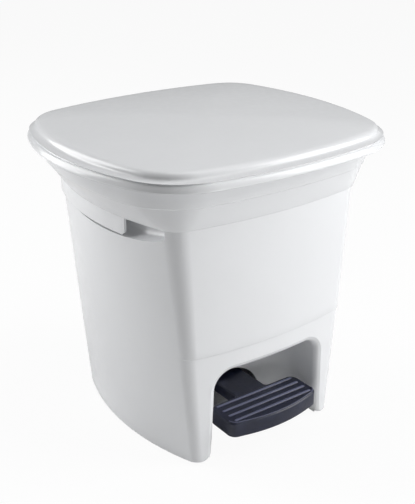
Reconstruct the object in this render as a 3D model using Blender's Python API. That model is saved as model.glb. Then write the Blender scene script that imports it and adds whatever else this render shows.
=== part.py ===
"""Pedal bin with a lift-out bucket, built as separate pieces at real size.

Frame: metres, +Z up, X across, -Y towards the user (the pedal side).
The origin is on the floor, below the middle of the lid.
At rest the lid is closed and the pedal is up.
"""

import math
from collections import namedtuple

import bmesh
import bpy
from mathutils import Vector

mm = 0.001

# Outlines are rounded rectangles with bowed sides: half width, half depth to the front and to the
# back, radius of the bowed front and back, radius of the bowed sides, corner radius.
Outline = namedtuple("Outline", "half_width front back end_arc side_arc corner")

# Running clearances
SEAT_GAP = 0.3 * mm
WALL_GAP = 0.65 * mm
PIN_CLEARANCE = 0.25 * mm
OVERRUN = 4 * mm
FUSE = 0.8 * mm

# Casing: heights of its moulded lines and the outline at each
FOOT_STAND = 2 * mm
BELLY_Z = 106 * mm
BAND_TWO_Z = 223 * mm
BAND_ONE_Z = 246 * mm
RIM_Z = 266 * mm
CASING_BASE = Outline(87.5 * mm, 93 * mm, 93.2 * mm, 300 * mm, 260 * mm, 24 * mm)
CASING_BELLY = Outline(99 * mm, 95.5 * mm, 95.7 * mm, 330 * mm, 280 * mm, 27 * mm)
CASING_BAND_TWO = Outline(114.2 * mm, 99.2 * mm, 99.4 * mm, 380 * mm, 300 * mm, 33 * mm)
CASING_BAND_ONE = Outline(129.5 * mm, 111.2 * mm, 111.4 * mm, 420 * mm, 302 * mm, 52 * mm)
CASING_RIM = Outline(136 * mm, 117 * mm, 117.2 * mm, 440 * mm, 310 * mm, 60 * mm)
CASING_WALL = 2.4 * mm
BELLY_STEP = 1.5 * mm
BAND_STEP = 1.2 * mm
STEP_RISE = 0.5 * mm
RIM_ROUND = 0.8 * mm

# Foot niche in the front of the casing
NICHE_HALF_WIDTH = 60 * mm
NICHE_TAPER = 3 * mm
NICHE_TOP_Z = 87 * mm
NICHE_BACK_Y = -38 * mm
NICHE_CORNER = 26 * mm
NICHE_TOP_RADIUS = 16 * mm
NICHE_WALL = 2.2 * mm
ARM_ARCH_RADIUS = 38 * mm
ARM_ARCH_Z = 7 * mm

# Finger grips in the sides of the casing
GRIP_HALF_LENGTH = 84 * mm
GRIP_DEPTH = 13 * mm
GRIP_HEIGHT = 26 * mm
LIP_HALF_LENGTH = 43 * mm
LIP_DROP = 15 * mm
LIP_THICKNESS = 2.2 * mm

# Lid: outline at its widest, and its section
LID_EDGE_Z = 265 * mm
LID = Outline(150 * mm, 133 * mm, 133 * mm, 420 * mm, 290 * mm, 76 * mm)
LID_WALL = 2.2 * mm
LID_CREASE = 0.7 * mm
LID_CREASE_Z = 6.5 * mm
LID_FLANGE_TOP = 9 * mm
LID_SHOULDER_Z = 31.5 * mm
LID_SHOULDER_INSET = 18 * mm
LID_PLATEAU_Z = 33.6 * mm
LID_PLATEAU_INSET = 26 * mm
LID_DOME_Z = 38 * mm
SEAT_RIB_WALL = 2 * mm
SEAT_RIB_BACK_Y = 92 * mm

# Lid hinge and the lever below the lid
HINGE_Y = 111 * mm
HINGE_Z = 264 * mm
HINGE_X = 52 * mm
LID_TRAVEL = math.radians(70)
KNUCKLE_WIDTH = 8 * mm
KNUCKLE_RADIUS = 6 * mm
EAR_THICKNESS = 4 * mm
EAR_DEPTH = 24 * mm
HINGE_NOTCH_GAP = 1.2 * mm
PIN_RADIUS = 2 * mm
PIN_HEAD_RADIUS = 3.6 * mm
PIN_HEAD = 1.6 * mm
ROD_OFFSET = 13 * mm
LEVER_THICKNESS = 5 * mm
LEVER_END_RADIUS = 6.5 * mm
LEVER_PLATE_HALF_WIDTH = 17 * mm
LEVER_PLATE_DEPTH = 30 * mm
LEVER_PLATE = 3 * mm
LEVER_BOSS_RADIUS = 4.2 * mm
LEVER_BOSS_X = 11 * mm
LEVER_SCREW_Y = 84 * mm
LEVER_SIDE_SLACK = 0.9 * mm
LEVER_END_SLACK = 0.45 * mm

# Push rod, a bent steel wire
ROD_RADIUS = 2 * mm
ROD_X = -8 * mm
ROD_LOW_Y = 84 * mm
ROD_CRANK_LOW_Z = 218 * mm
ROD_CRANK_HIGH_Z = 246 * mm
CLIP_RADIUS = 4.4 * mm
CLIP_WIDTH = 2.6 * mm

# Pedal lever
PIVOT_Y = -14 * mm
PIVOT_Z = 34 * mm
AXLE_RADIUS = 3 * mm
AXLE_HEAD_RADIUS = 5 * mm
AXLE_HEAD = 2 * mm
TREAD_FRONT_Y = -110 * mm
TREAD_BOW = 5 * mm
TREAD_DEPTH = 43 * mm
TREAD_HALF_WIDTH = 48 * mm
TREAD_CORNER = 8 * mm
TREAD_TOP_Z = 40 * mm
TREAD_THICKNESS = 14 * mm
TREAD_WALL = 2.4 * mm
TREAD_RIBS = 4
TREAD_RIB_WIDTH = 3.6 * mm
TREAD_RIB_HEIGHT = 1 * mm
TREAD_RIB_INSET = 7 * mm
ARM_HALF_WIDTH = 17 * mm
ARM_FILLET = 9 * mm
ARM_THICKNESS = 11 * mm
TAIL_HALF_WIDTH = 5 * mm
TAIL_THICKNESS = 9 * mm
HUB_RADIUS = 7.5 * mm
TAIL_END_RADIUS = 5.2 * mm

# Base plate, its posts, screws and feet
PLATE_RISE = 1 * mm
PLATE_THICKNESS = 3 * mm
POST_GAP = 1 * mm
POST_THICKNESS = 4 * mm
POST_HALF_DEPTH = 9 * mm
POST_TOP = 7 * mm
BOSS_RADIUS = 4.5 * mm
BOSS_HEIGHT = 26 * mm
SCREW_RADIUS = 1.6 * mm
SCREW_HEAD_RADIUS = 3.4 * mm
SCREW_HEAD = 1.8 * mm
SCREW_LENGTH = 12 * mm
SIDE_BOSS_Y = -22 * mm
REAR_BOSS_X = 46 * mm
BOSS_BITE = 0.6 * mm
FOOT_RADIUS = 5.5 * mm
FOOT_ROUND = 0.6 * mm
FOOT_STEM_RADIUS = 2.6 * mm
FOOT_BARB_RADIUS = 3.6 * mm
FOOT_BARB = 2.4 * mm
FOOT_FRONT_INSET = 32 * mm
FOOT_BACK_INSET = 22 * mm
FOOT_WALL_GAP = 3 * mm

# Bucket support ribs on the walls
RIB_THICKNESS = 2.4 * mm
RIB_HEIGHT = 30 * mm
REAR_RIB_X = 40 * mm
SIDE_RIB_Y = 34 * mm
RIB_REACH = 18 * mm

# Cover over the push rod
COVER_WALL = 1.6 * mm
COVER_LOW_Z = 66 * mm
COVER_HIGH_Z = 205 * mm
COVER_GAP = 2.2 * mm
COVER_FLANGE = 7 * mm

# Inner bucket
BUCKET_TOP_Z = 250 * mm
BUCKET_FLOOR = Outline(80 * mm, 80 * mm, 68 * mm, 280 * mm, 240 * mm, 28 * mm)
BUCKET_TOP = Outline(96 * mm, 97 * mm, 76 * mm, 330 * mm, 270 * mm, 40 * mm)
BUCKET_WALL = 1.8 * mm
BUCKET_FOOT_ROUND = 5 * mm
BUCKET_FLANGE = 8 * mm
BUCKET_FLANGE_DROP = 6 * mm
BAIL_RADIUS = 2 * mm
BAIL_PIVOT_Y = -8 * mm
BAIL_REACH = 77 * mm
BAIL_CORNER = 44 * mm
BAIL_EAR_THICKNESS = 2.6 * mm
BAIL_EAR_RADIUS = 5.5 * mm
GRIP_ROLL_RADIUS = 5 * mm
GRIP_ROLL_HALF_LENGTH = 34 * mm

# Faces along each stretch of an outline, and round a hole or a pin
END_STEPS = 3
CORNER_STEPS = 7
SIDE_STEPS = 3
ROUND_STEPS = 16

# Rest positions that the linkage fixes
ROD_SWING = ROD_OFFSET * math.tan(LID_TRAVEL / 2)
ROD_HIGH_Y = HINGE_Y - ROD_OFFSET
ROD_TOP_Z = HINGE_Z - ROD_SWING
ROD_BOTTOM_Z = PIVOT_Z - ROD_SWING
PEDAL_TRAVEL = 2 * math.asin(ROD_SWING / math.hypot(ROD_LOW_Y - PIVOT_Y, ROD_SWING))

WHITE = (0.86, 0.87, 0.88)
NAVY = (0.022, 0.026, 0.05)
STEEL = (0.62, 0.63, 0.65)
RUBBER = (0.03, 0.03, 0.032)


def clear_scene():
    """Remove what the start-up file holds."""
    for item in list(bpy.data.objects):
        bpy.data.objects.remove(item, do_unlink=True)


def material(name, colour, roughness, metallic=0.0):
    """A plain material for one sub-part."""
    made = bpy.data.materials.new(name)
    made.use_nodes = True
    shader = made.node_tree.nodes["Principled BSDF"]
    shader.inputs["Base Color"].default_value = (*colour, 1.0)
    shader.inputs["Roughness"].default_value = roughness
    shader.inputs["Metallic"].default_value = metallic
    made.diffuse_color = (*colour, 1.0)
    return made


def plastic(name, colour=WHITE):
    return material(name, colour, 0.25)


def steel(name):
    return material(name, STEEL, 0.3, 1.0)


def link(name, data, surface=None):
    """Put mesh or curve data into the scene as a named object."""
    item = bpy.data.objects.new(name, data)
    bpy.context.scene.collection.objects.link(item)
    if surface:
        data.materials.append(surface)
    return item


def finish_mesh(name, bm, surface=None, smooth=True):
    """Close a bmesh: faces out, smooth shading with sharp edges kept."""
    bmesh.ops.recalc_face_normals(bm, faces=bm.faces)
    mesh = bpy.data.meshes.new(name)
    bm.to_mesh(mesh)
    bm.free()
    if smooth:
        mesh.shade_smooth()
        mesh.set_sharp_from_angle(angle=math.radians(30))
    return link(name, mesh, surface)


def as_cutter(item):
    """A shape that only cuts or fuses: not a piece of the bin."""
    item.hide_render = True
    item.display_type = "WIRE"
    return item


def boolean(item, operation, tools):
    """Cut tools out of a piece, or fuse them to it."""
    for tool in tools:
        as_cutter(tool)
        step = item.modifiers.new(operation.lower() + "_" + tool.name, "BOOLEAN")
        step.operation = operation
        step.solver = "EXACT"
        step.object = tool
    return item


def fuse(item, *tools):
    return boolean(item, "UNION", tools)


def cut(item, *tools):
    return boolean(item, "DIFFERENCE", tools)


def arc(centre, radius, start, end, steps):
    """Points along a circle arc, both ends included."""
    turns = [start + (end - start) * i / steps for i in range(steps + 1)]
    return [(centre[0] + radius * math.cos(t), centre[1] + radius * math.sin(t)) for t in turns]


def grow(outline, amount):
    """The outline moved outwards by one distance all round."""
    return Outline(*(value + amount for value in outline))


def blend(low, high, share):
    """An outline between two others."""
    return Outline(*(a + (b - a) * share for a, b in zip(low, high)))


def quadrant(outline, half_depth):
    """Points from the middle of one end (0, depth) round to the middle of the side (width, 0)."""
    end_centre = Vector((0, half_depth - outline.end_arc))
    side_centre = Vector((outline.half_width - outline.side_arc, 0))
    to_end = outline.end_arc - outline.corner
    to_side = outline.side_arc - outline.corner
    between = side_centre - end_centre
    along = (to_end ** 2 - to_side ** 2 + between.length_squared) / (2 * between.length)
    across = math.sqrt(to_end ** 2 - along ** 2)
    direction = between.normalized()
    centre = end_centre + direction * along + Vector((-direction.y, direction.x)) * across
    if centre.x < 0:
        centre = end_centre + direction * along - Vector((-direction.y, direction.x)) * across
    first = centre - end_centre
    last = centre - side_centre
    end_turn = math.atan2(first.y, first.x)
    side_turn = math.atan2(last.y, last.x)
    points = arc(end_centre, outline.end_arc, math.pi / 2, end_turn, END_STEPS)[:-1]
    points += arc(centre, outline.corner, end_turn, side_turn, CORNER_STEPS)[:-1]
    points += arc(side_centre, outline.side_arc, side_turn, 0, SIDE_STEPS)
    return points


def ring(outline, z):
    """The whole outline at one height, round from the middle of the front."""
    front = quadrant(outline, outline.front)
    back = quadrant(outline, outline.back)
    points = [Vector((x, -y, z)) for x, y in front]
    points += [Vector((x, y, z)) for x, y in back[-2::-1]]
    points += [Vector((-x, y, z)) for x, y in back[1:]]
    points += [Vector((-x, -y, z)) for x, y in front[-2:0:-1]]
    return points


def loft(name, rings, surface=None, close=False):
    """Skin rings of equal count; cap both ends, or join last to first when close is set."""
    bm = bmesh.new()
    loops = [[bm.verts.new(point) for point in points] for points in rings]
    count = len(loops[0])
    pairs = list(zip(loops, loops[1:]))
    if close:
        pairs.append((loops[-1], loops[0]))
    for low, high in pairs:
        for i in range(count):
            j = (i + 1) % count
            bm.faces.new((low[i], low[j], high[j], high[i]))
    if not close:
        bm.faces.new(loops[0])
        bm.faces.new(loops[-1])
    return finish_mesh(name, bm, surface)


def prism(name, points, axis, low, high, surface=None):
    """Extrude an outline of two coordinates along X, Y or Z."""
    place = {
        "x": lambda p, q, s: Vector((s, p, q)),
        "y": lambda p, q, s: Vector((p, s, q)),
        "z": lambda p, q, s: Vector((p, q, s)),
    }[axis]
    rings = [[place(p, q, side) for p, q in points] for side in (low, high)]
    return loft(name, rings, surface)


def turned(name, centre, axis, profile, surface=None):
    """A solid of revolution: profile holds (distance along the axis, radius) pairs."""
    rings = []
    for along, radius in profile:
        points = arc((0, 0), radius, 0, 2 * math.pi, ROUND_STEPS)[:-1]
        if axis == "x":
            rings.append([centre + Vector((along, u, v)) for u, v in points])
        else:
            rings.append([centre + Vector((u, v, along)) for u, v in points])
    return loft(name, rings, surface)


def wire(name, points, radius, surface=None, sides=2):
    """A round wire through a list of points."""
    data = bpy.data.curves.new(name, "CURVE")
    data.dimensions = "3D"
    data.bevel_depth = radius
    data.bevel_resolution = sides
    data.use_fill_caps = True
    spline = data.splines.new("POLY")
    spline.points.add(len(points) - 1)
    for slot, point in zip(spline.points, points):
        slot.co = (*point, 1.0)
    return link(name, data, surface)


def rounded_path(points, radius, steps=6):
    """A path with its corners rounded to one radius."""
    path = [Vector(points[0])]
    for before, corner, after in zip(points, points[1:], points[2:]):
        corner = Vector(corner)
        back = (Vector(before) - corner).normalized()
        on = (Vector(after) - corner).normalized()
        half = back.angle(on) / 2
        reach = radius / math.tan(half)
        middle = corner + (back + on).normalized() * (radius / math.sin(half))
        start = corner + back * reach - middle
        end = corner + on * reach - middle
        whole = start.angle(end)
        for i in range(steps + 1):
            turn = whole * i / steps
            path.append(middle + (start * math.sin(whole - turn) + end * math.sin(turn)) / math.sin(whole))
    path.append(Vector(points[-1]))
    return path


def axis_empty(name, place):
    """An empty on a joint axis, to carry what turns about it."""
    empty = bpy.data.objects.new(name, None)
    empty.location = place
    bpy.context.scene.collection.objects.link(empty)
    return empty


def hang_on(empty, *items):
    """Parent pieces to the empty on their joint axis, without moving them."""
    for item in items:
        item.parent = empty
        item.location = -empty.location


def casing_outline(z, inset=0.0):
    """Outline of the casing's wall at one height, without the small steps."""
    levels = [
        (FOOT_STAND, CASING_BASE), (BELLY_Z, CASING_BELLY), (BAND_TWO_Z, CASING_BAND_TWO),
        (BAND_ONE_Z, CASING_BAND_ONE), (RIM_Z, CASING_RIM),
    ]
    for (low_z, low), (high_z, high) in zip(levels, levels[1:]):
        if z <= high_z:
            break
    return grow(blend(low, high, (z - low_z) / (high_z - low_z)), -inset)


def wall_back_y(x, z, inset=CASING_WALL):
    """Y of the inside of the rear wall at x and z."""
    outline = casing_outline(z, inset)
    return outline.back - outline.end_arc + math.sqrt(outline.end_arc ** 2 - x ** 2)


def wall_side_x(y, z, inset=CASING_WALL):
    """X of the inside of the right wall at y and z."""
    outline = casing_outline(z, inset)
    return outline.half_width - outline.side_arc + math.sqrt(outline.side_arc ** 2 - y ** 2)


def casing_rings():
    """The outside of the casing from its base to its rim, with the moulded lines."""
    belly = CASING_BELLY._replace(front=CASING_BELLY.front + BELLY_STEP)
    rows = [
        (FOOT_STAND, grow(CASING_BASE, -RIM_ROUND)),
        (FOOT_STAND + RIM_ROUND, casing_outline(FOOT_STAND + RIM_ROUND)),
        (BELLY_Z, CASING_BELLY),
        (BELLY_Z + STEP_RISE, belly),
        (BAND_TWO_Z, CASING_BAND_TWO),
        (BAND_TWO_Z + STEP_RISE, grow(CASING_BAND_TWO, BAND_STEP)),
        (BAND_ONE_Z, CASING_BAND_ONE),
        (BAND_ONE_Z + STEP_RISE, grow(CASING_BAND_ONE, BAND_STEP)),
        (RIM_Z - RIM_ROUND, CASING_RIM),
        (RIM_Z, grow(CASING_RIM, -RIM_ROUND)),
    ]
    return [ring(outline, z) for z, outline in rows]


def core_rings():
    """The hollow of the casing, open at the base and at the rim."""
    rows = [(FOOT_STAND - OVERRUN, grow(CASING_BASE, -CASING_WALL))]
    for z in (FOOT_STAND, BELLY_Z, BAND_TWO_Z, BAND_ONE_Z, RIM_Z):
        rows.append((z, casing_outline(z, CASING_WALL)))
    rows.append((RIM_Z + OVERRUN, grow(CASING_RIM, -CASING_WALL)))
    return [ring(outline, z) for z, outline in rows]


def niche_shape(name, offset, low_z):
    """The foot niche, grown by an offset: a room with a rounded back and a rounded roof edge."""
    front_y = -CASING_RIM.front - OVERRUN
    rings = []
    straight_top = NICHE_TOP_Z - NICHE_TOP_RADIUS
    levels = [(low_z, 0.0), (straight_top, 0.0)]
    for up, inset in arc((0, 0), NICHE_TOP_RADIUS, 0, math.pi / 2, 6)[1:]:
        levels.append((straight_top + inset, NICHE_TOP_RADIUS - up))
    for z, inset in levels:
        lean = NICHE_TAPER * max(z, 0) / NICHE_TOP_Z
        half = NICHE_HALF_WIDTH - lean - inset + offset
        back = NICHE_BACK_Y - inset + offset
        corner = NICHE_CORNER + offset - inset / 2
        rise = offset if z > low_z else 0.0
        points = [(-half, front_y)]
        points += arc((-half + corner, back - corner), corner, math.pi, math.pi / 2, 6)
        points += arc((half - corner, back - corner), corner, math.pi / 2, 0, 6)
        points.append((half, front_y))
        rings.append([Vector((x, y, z + rise)) for x, y in points])
    return loft(name, rings)


def grip_pocket(name, side, offset):
    """The finger room under the band on one side, grown by an offset."""
    rings = []
    steps = 12
    top = BAND_TWO_Z + STEP_RISE / 2 + offset
    for i in range(steps + 1):
        turn = math.pi * i / steps
        y = -(GRIP_HALF_LENGTH + offset) * math.cos(turn)
        depth = (GRIP_DEPTH + offset) * math.sin(turn) ** 0.5 if 0 < i < steps else 0.0
        outer = CASING_BAND_ONE.half_width
        inner = wall_side_x(min(abs(y), GRIP_HALF_LENGTH), BAND_TWO_Z, 0.0) - depth
        height = (GRIP_HEIGHT + offset) * (0.35 + 0.65 * math.sin(turn)) + offset
        bend = min(height, GRIP_DEPTH) * 0.6
        points = [(outer, top), (inner, top), (inner, top - height + bend)]
        points += [(inner + bend * 0.4, top - height + bend * 0.3), (inner + bend * 1.2, top - height)]
        points.append((outer, top - height))
        rings.append([Vector((side * x, y, z)) for x, z in points])
    return loft(name, rings)


def grip_lip(name, side):
    """The lip that hangs from the band in front of the finger room."""
    rings = []
    steps = 8
    for i in range(steps + 1):
        y = LIP_HALF_LENGTH * (2 * i / steps - 1)
        out = wall_side_x(y, BAND_TWO_Z, 0.0) + BAND_STEP
        drop = LIP_DROP * (1.0 if 0 < i < steps else 0.9)
        low = BAND_TWO_Z - drop
        high = BAND_TWO_Z + LIP_THICKNESS
        points = [(out, high), (out - LIP_THICKNESS, high), (out - LIP_THICKNESS, low), (out - FUSE, low)]
        rings.append([Vector((side * x, y, z)) for x, z in points])
    return loft(name, rings)


def wall_rib(name, across, toward, along, top_z):
    """A gusset on a wall that carries the bucket."""
    low = top_z - RIB_HEIGHT
    points = [(toward - RIB_REACH, top_z), (toward + FUSE, top_z), (toward, low)]
    return prism(name, points, along, across - RIB_THICKNESS / 2, across + RIB_THICKNESS / 2)


def boss_places():
    """Screw bosses, each sunk a little into its wall."""
    z = FOOT_STAND + PLATE_RISE + PLATE_THICKNESS
    side_x = wall_side_x(SIDE_BOSS_Y, z) - BOSS_RADIUS + BOSS_BITE
    rear_y = wall_back_y(REAR_BOSS_X, z) - BOSS_RADIUS + BOSS_BITE
    return [(side_x, SIDE_BOSS_Y), (-side_x, SIDE_BOSS_Y), (REAR_BOSS_X, rear_y), (-REAR_BOSS_X, rear_y)]


def foot_places():
    """Feet: two between the niche and the side walls, two near the rear corners."""
    floor = FOOT_STAND + PLATE_RISE
    front = -CASING_BASE.front + FOOT_FRONT_INSET
    back = CASING_BASE.back - FOOT_BACK_INSET
    front_x = (NICHE_HALF_WIDTH + NICHE_WALL + wall_side_x(front, floor)) / 2
    back_x = wall_side_x(back, floor) - FOOT_RADIUS - FOOT_WALL_GAP
    return {
        "foot_front_left": (-front_x, front), "foot_front_right": (front_x, front),
        "foot_back_left": (-back_x, back), "foot_back_right": (back_x, back),
    }


def hinge_ears():
    """Two pairs of ears on the rear wall, with their pin holes."""
    ears = []
    for side in (-1, 1):
        for edge in (-1, 1):
            near = KNUCKLE_WIDTH / 2 + SEAT_GAP
            span = sorted((edge * near, edge * (near + EAR_THICKNESS)))
            x_low, x_high = (side * HINGE_X + value for value in span)
            points = arc((HINGE_Y, HINGE_Z), KNUCKLE_RADIUS, 0, math.pi, 10)
            points += [(HINGE_Y - KNUCKLE_RADIUS, HINGE_Z - EAR_DEPTH / 2)]
            points += [(HINGE_Y - FUSE, HINGE_Z - EAR_DEPTH), (HINGE_Y, HINGE_Z - EAR_DEPTH / 2)]
            ears.append(prism(f"ear_{side}_{edge}", points, "x", x_low, x_high))
    return ears


def hinge_notch(name, side):
    """The gap in the rear wall that the knuckle, the ears and the pin's ends stand in."""
    half = KNUCKLE_WIDTH / 2 + EAR_THICKNESS + 2 * SEAT_GAP + PIN_HEAD + HINGE_NOTCH_GAP
    low = HINGE_Z - KNUCKLE_RADIUS - HINGE_NOTCH_GAP
    front = HINGE_Y - KNUCKLE_RADIUS - OVERRUN
    points = [(front, low), (CASING_RIM.back + OVERRUN, low)]
    points += [(CASING_RIM.back + OVERRUN, RIM_Z + OVERRUN), (front, RIM_Z + OVERRUN)]
    return prism(name, points, "x", side * HINGE_X - half, side * HINGE_X + half)


def cross_bore(name, x_low, x_high, y, z, radius):
    """A round hole along X."""
    points = arc((y, z), radius, 0, 2 * math.pi, ROUND_STEPS)[:-1]
    return prism(name, points, "x", x_low - OVERRUN, x_high + OVERRUN)


def make_casing():
    """Outer casing: lofted skin, hollow core, niche, finger grips, ears, bosses and ribs."""
    rib_top = NICHE_TOP_Z + NICHE_WALL
    casing = loft("outer_casing", casing_rings(), plastic("casing_white"))
    core = loft("casing_core", core_rings())
    cut(core, niche_shape("niche_block", NICHE_WALL, FOOT_STAND - 2 * OVERRUN))
    cut(core, *(grip_pocket(f"grip_block_{side}", side, LIP_THICKNESS) for side in (-1, 1)))
    cut(casing, core, niche_shape("niche_room", 0.0, FOOT_STAND - 2 * OVERRUN))
    cut(casing, *(grip_pocket(f"grip_room_{side}", side, 0.0) for side in (-1, 1)))
    arch = arc((0, ARM_ARCH_Z), ARM_ARCH_RADIUS, 0, math.pi, 14)
    arch = [(ARM_ARCH_RADIUS, -OVERRUN), *arch, (-ARM_ARCH_RADIUS, -OVERRUN)]
    cut(casing, prism("arm_arch", arch, "y", NICHE_BACK_Y - OVERRUN, NICHE_BACK_Y + OVERRUN))
    cut(casing, *(hinge_notch(f"hinge_notch_{side}", side) for side in (-1, 1)))
    fuse(casing, *(grip_lip(f"lip_{side}", side) for side in (-1, 1)), *hinge_ears())
    pin_reach = HINGE_X + KNUCKLE_WIDTH + EAR_THICKNESS
    bore_radius = PIN_RADIUS + PIN_CLEARANCE
    cut(casing, cross_bore("ear_bore", -pin_reach, pin_reach, HINGE_Y, HINGE_Z, bore_radius))
    plate_top = FOOT_STAND + PLATE_RISE + PLATE_THICKNESS + SEAT_GAP
    for i, (x, y) in enumerate(boss_places()):
        place = Vector((x, y, plate_top))
        fuse(casing, turned(f"boss_{i}", place, "z", [(0, BOSS_RADIUS), (BOSS_HEIGHT, BOSS_RADIUS)]))
        hole = [(-OVERRUN, SCREW_RADIUS + PIN_CLEARANCE), (SCREW_LENGTH, SCREW_RADIUS + PIN_CLEARANCE)]
        cut(casing, turned(f"boss_bore_{i}", place, "z", hole))
    for side in (-1, 1):
        across = side * REAR_RIB_X
        fuse(casing, wall_rib(f"rear_rib_{side}", across, wall_back_y(REAR_RIB_X, BELLY_Z), "x", rib_top))
        points = [
            (side * (wall_side_x(SIDE_RIB_Y, rib_top) - RIB_REACH), rib_top),
            (side * (wall_side_x(SIDE_RIB_Y, rib_top) + FUSE), rib_top),
            (side * wall_side_x(SIDE_RIB_Y, rib_top - RIB_HEIGHT), rib_top - RIB_HEIGHT),
        ]
        low, high = SIDE_RIB_Y - RIB_THICKNESS / 2, SIDE_RIB_Y + RIB_THICKNESS / 2
        fuse(casing, prism(f"side_rib_{side}", points, "y", low, high))
    return casing


def make_base_plate():
    """Base plate in the foot of the casing, with two posts for the pedal's axle."""
    low = FOOT_STAND + PLATE_RISE
    high = low + PLATE_THICKNESS
    edge = CASING_WALL + WALL_GAP
    rows = [ring(casing_outline(z, edge), z) for z in (low, high)]
    plate = loft("base_plate", rows, plastic("base_white"))
    cut(plate, niche_shape("plate_niche", NICHE_WALL + SEAT_GAP, low - 2 * OVERRUN))
    post_low = ARM_HALF_WIDTH + POST_GAP
    for side in (-1, 1):
        x_low, x_high = sorted((side * post_low, side * (post_low + POST_THICKNESS)))
        points = [
            (PIVOT_Y - POST_HALF_DEPTH, high - FUSE), (PIVOT_Y + POST_HALF_DEPTH, high - FUSE),
            *arc((PIVOT_Y, PIVOT_Z), POST_TOP, 0, math.pi, 10),
        ]
        fuse(plate, prism(f"post_{side}", points, "x", x_low, x_high))
    reach = post_low + POST_THICKNESS
    radius = AXLE_RADIUS + PIN_CLEARANCE
    cut(plate, cross_bore("post_bore", -reach, reach, PIVOT_Y, PIVOT_Z, radius))
    for i, (x, y) in enumerate(boss_places()):
        span = [(-OVERRUN, SCREW_RADIUS + PIN_CLEARANCE), (OVERRUN, SCREW_RADIUS + PIN_CLEARANCE)]
        cut(plate, turned(f"plate_screw_hole_{i}", Vector((x, y, low)), "z", span))
    for name, (x, y) in foot_places().items():
        span = [(-OVERRUN, FOOT_STEM_RADIUS + PIN_CLEARANCE), (OVERRUN, FOOT_STEM_RADIUS + PIN_CLEARANCE)]
        cut(plate, turned(f"hole_{name}", Vector((x, y, low)), "z", span))
    return plate


def make_screw(name, seat, length):
    """A pan-head screw driven upwards, its head under the seat."""
    profile = [
        (-SCREW_HEAD, SCREW_HEAD_RADIUS - FOOT_ROUND), (-SCREW_HEAD / 2, SCREW_HEAD_RADIUS),
        (0, SCREW_HEAD_RADIUS), (0, SCREW_RADIUS), (length, SCREW_RADIUS),
    ]
    return turned(name, seat, "z", profile, steel(name + "_steel"))


def make_base_screws():
    """Four screws from below that hold the base plate to its bosses."""
    seat = FOOT_STAND + PLATE_RISE - SEAT_GAP
    names = ("base_screw_right", "base_screw_left", "base_screw_back_right", "base_screw_back_left")
    for name, (x, y) in zip(names, boss_places()):
        make_screw(name, Vector((x, y, seat)), SCREW_LENGTH)


def make_feet():
    """Rubber feet pushed up through the base plate."""
    low = FOOT_STAND + PLATE_RISE
    neck = low + PLATE_THICKNESS + SEAT_GAP
    for name, (x, y) in foot_places().items():
        profile = [
            (0, FOOT_RADIUS - FOOT_ROUND), (FOOT_ROUND, FOOT_RADIUS), (low - SEAT_GAP, FOOT_RADIUS),
            (low - SEAT_GAP, FOOT_STEM_RADIUS), (neck, FOOT_STEM_RADIUS), (neck, FOOT_BARB_RADIUS),
            (neck + FOOT_BARB, FOOT_STEM_RADIUS),
        ]
        turned(name, Vector((x, y, 0)), "z", profile, material(name + "_rubber", RUBBER, 0.8))


def make_axle():
    """Steel axle of the pedal, headed at both ends."""
    reach = ARM_HALF_WIDTH + POST_GAP + POST_THICKNESS + SEAT_GAP
    profile = [
        (-reach - AXLE_HEAD, AXLE_HEAD_RADIUS), (-reach, AXLE_HEAD_RADIUS), (-reach, AXLE_RADIUS),
        (reach, AXLE_RADIUS), (reach, AXLE_HEAD_RADIUS), (reach + AXLE_HEAD, AXLE_HEAD_RADIUS),
    ]
    return turned("pedal_axle", Vector((0, PIVOT_Y, PIVOT_Z)), "x", profile, steel("axle_steel"))


def tread_outline(inset=0.0):
    """Plan of the pedal's tread: bowed front, rounded corners, filleted into the arm behind."""
    half = TREAD_HALF_WIDTH - inset
    corner = TREAD_CORNER - inset / 2
    back = TREAD_FRONT_Y + TREAD_DEPTH - inset
    side_front = TREAD_FRONT_Y + TREAD_BOW + inset
    points = arc((half - corner, back - corner), corner, math.pi / 2, 0, 4)
    points += arc((half - corner, side_front + corner), corner, 0, -math.pi / 2.4, 4)
    for i in range(1, 6):
        share = 1 - 2 * i / 6
        points.append((share * (half - corner), TREAD_FRONT_Y + inset + TREAD_BOW * share ** 2))
    points += [(-x, y) for x, y in arc((half - corner, side_front + corner), corner, -math.pi / 2.4, 0, 4)]
    points += [(-x, y) for x, y in arc((half - corner, back - corner), corner, 0, math.pi / 2, 4)]
    return points


def arm_outline():
    """Plan of the arm from the tread back to the hub, flared where it leaves the tread."""
    start = TREAD_FRONT_Y + TREAD_DEPTH - TREAD_WALL
    flare = TREAD_FRONT_Y + TREAD_DEPTH
    right = [(ARM_HALF_WIDTH + ARM_FILLET, start)]
    fillet = arc((ARM_HALF_WIDTH + ARM_FILLET, flare + ARM_FILLET), ARM_FILLET, -math.pi / 2, -math.pi, 5)
    right += fillet
    right.append((ARM_HALF_WIDTH, PIVOT_Y))
    return right + [(-x, y) for x, y in right[::-1]]


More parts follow.
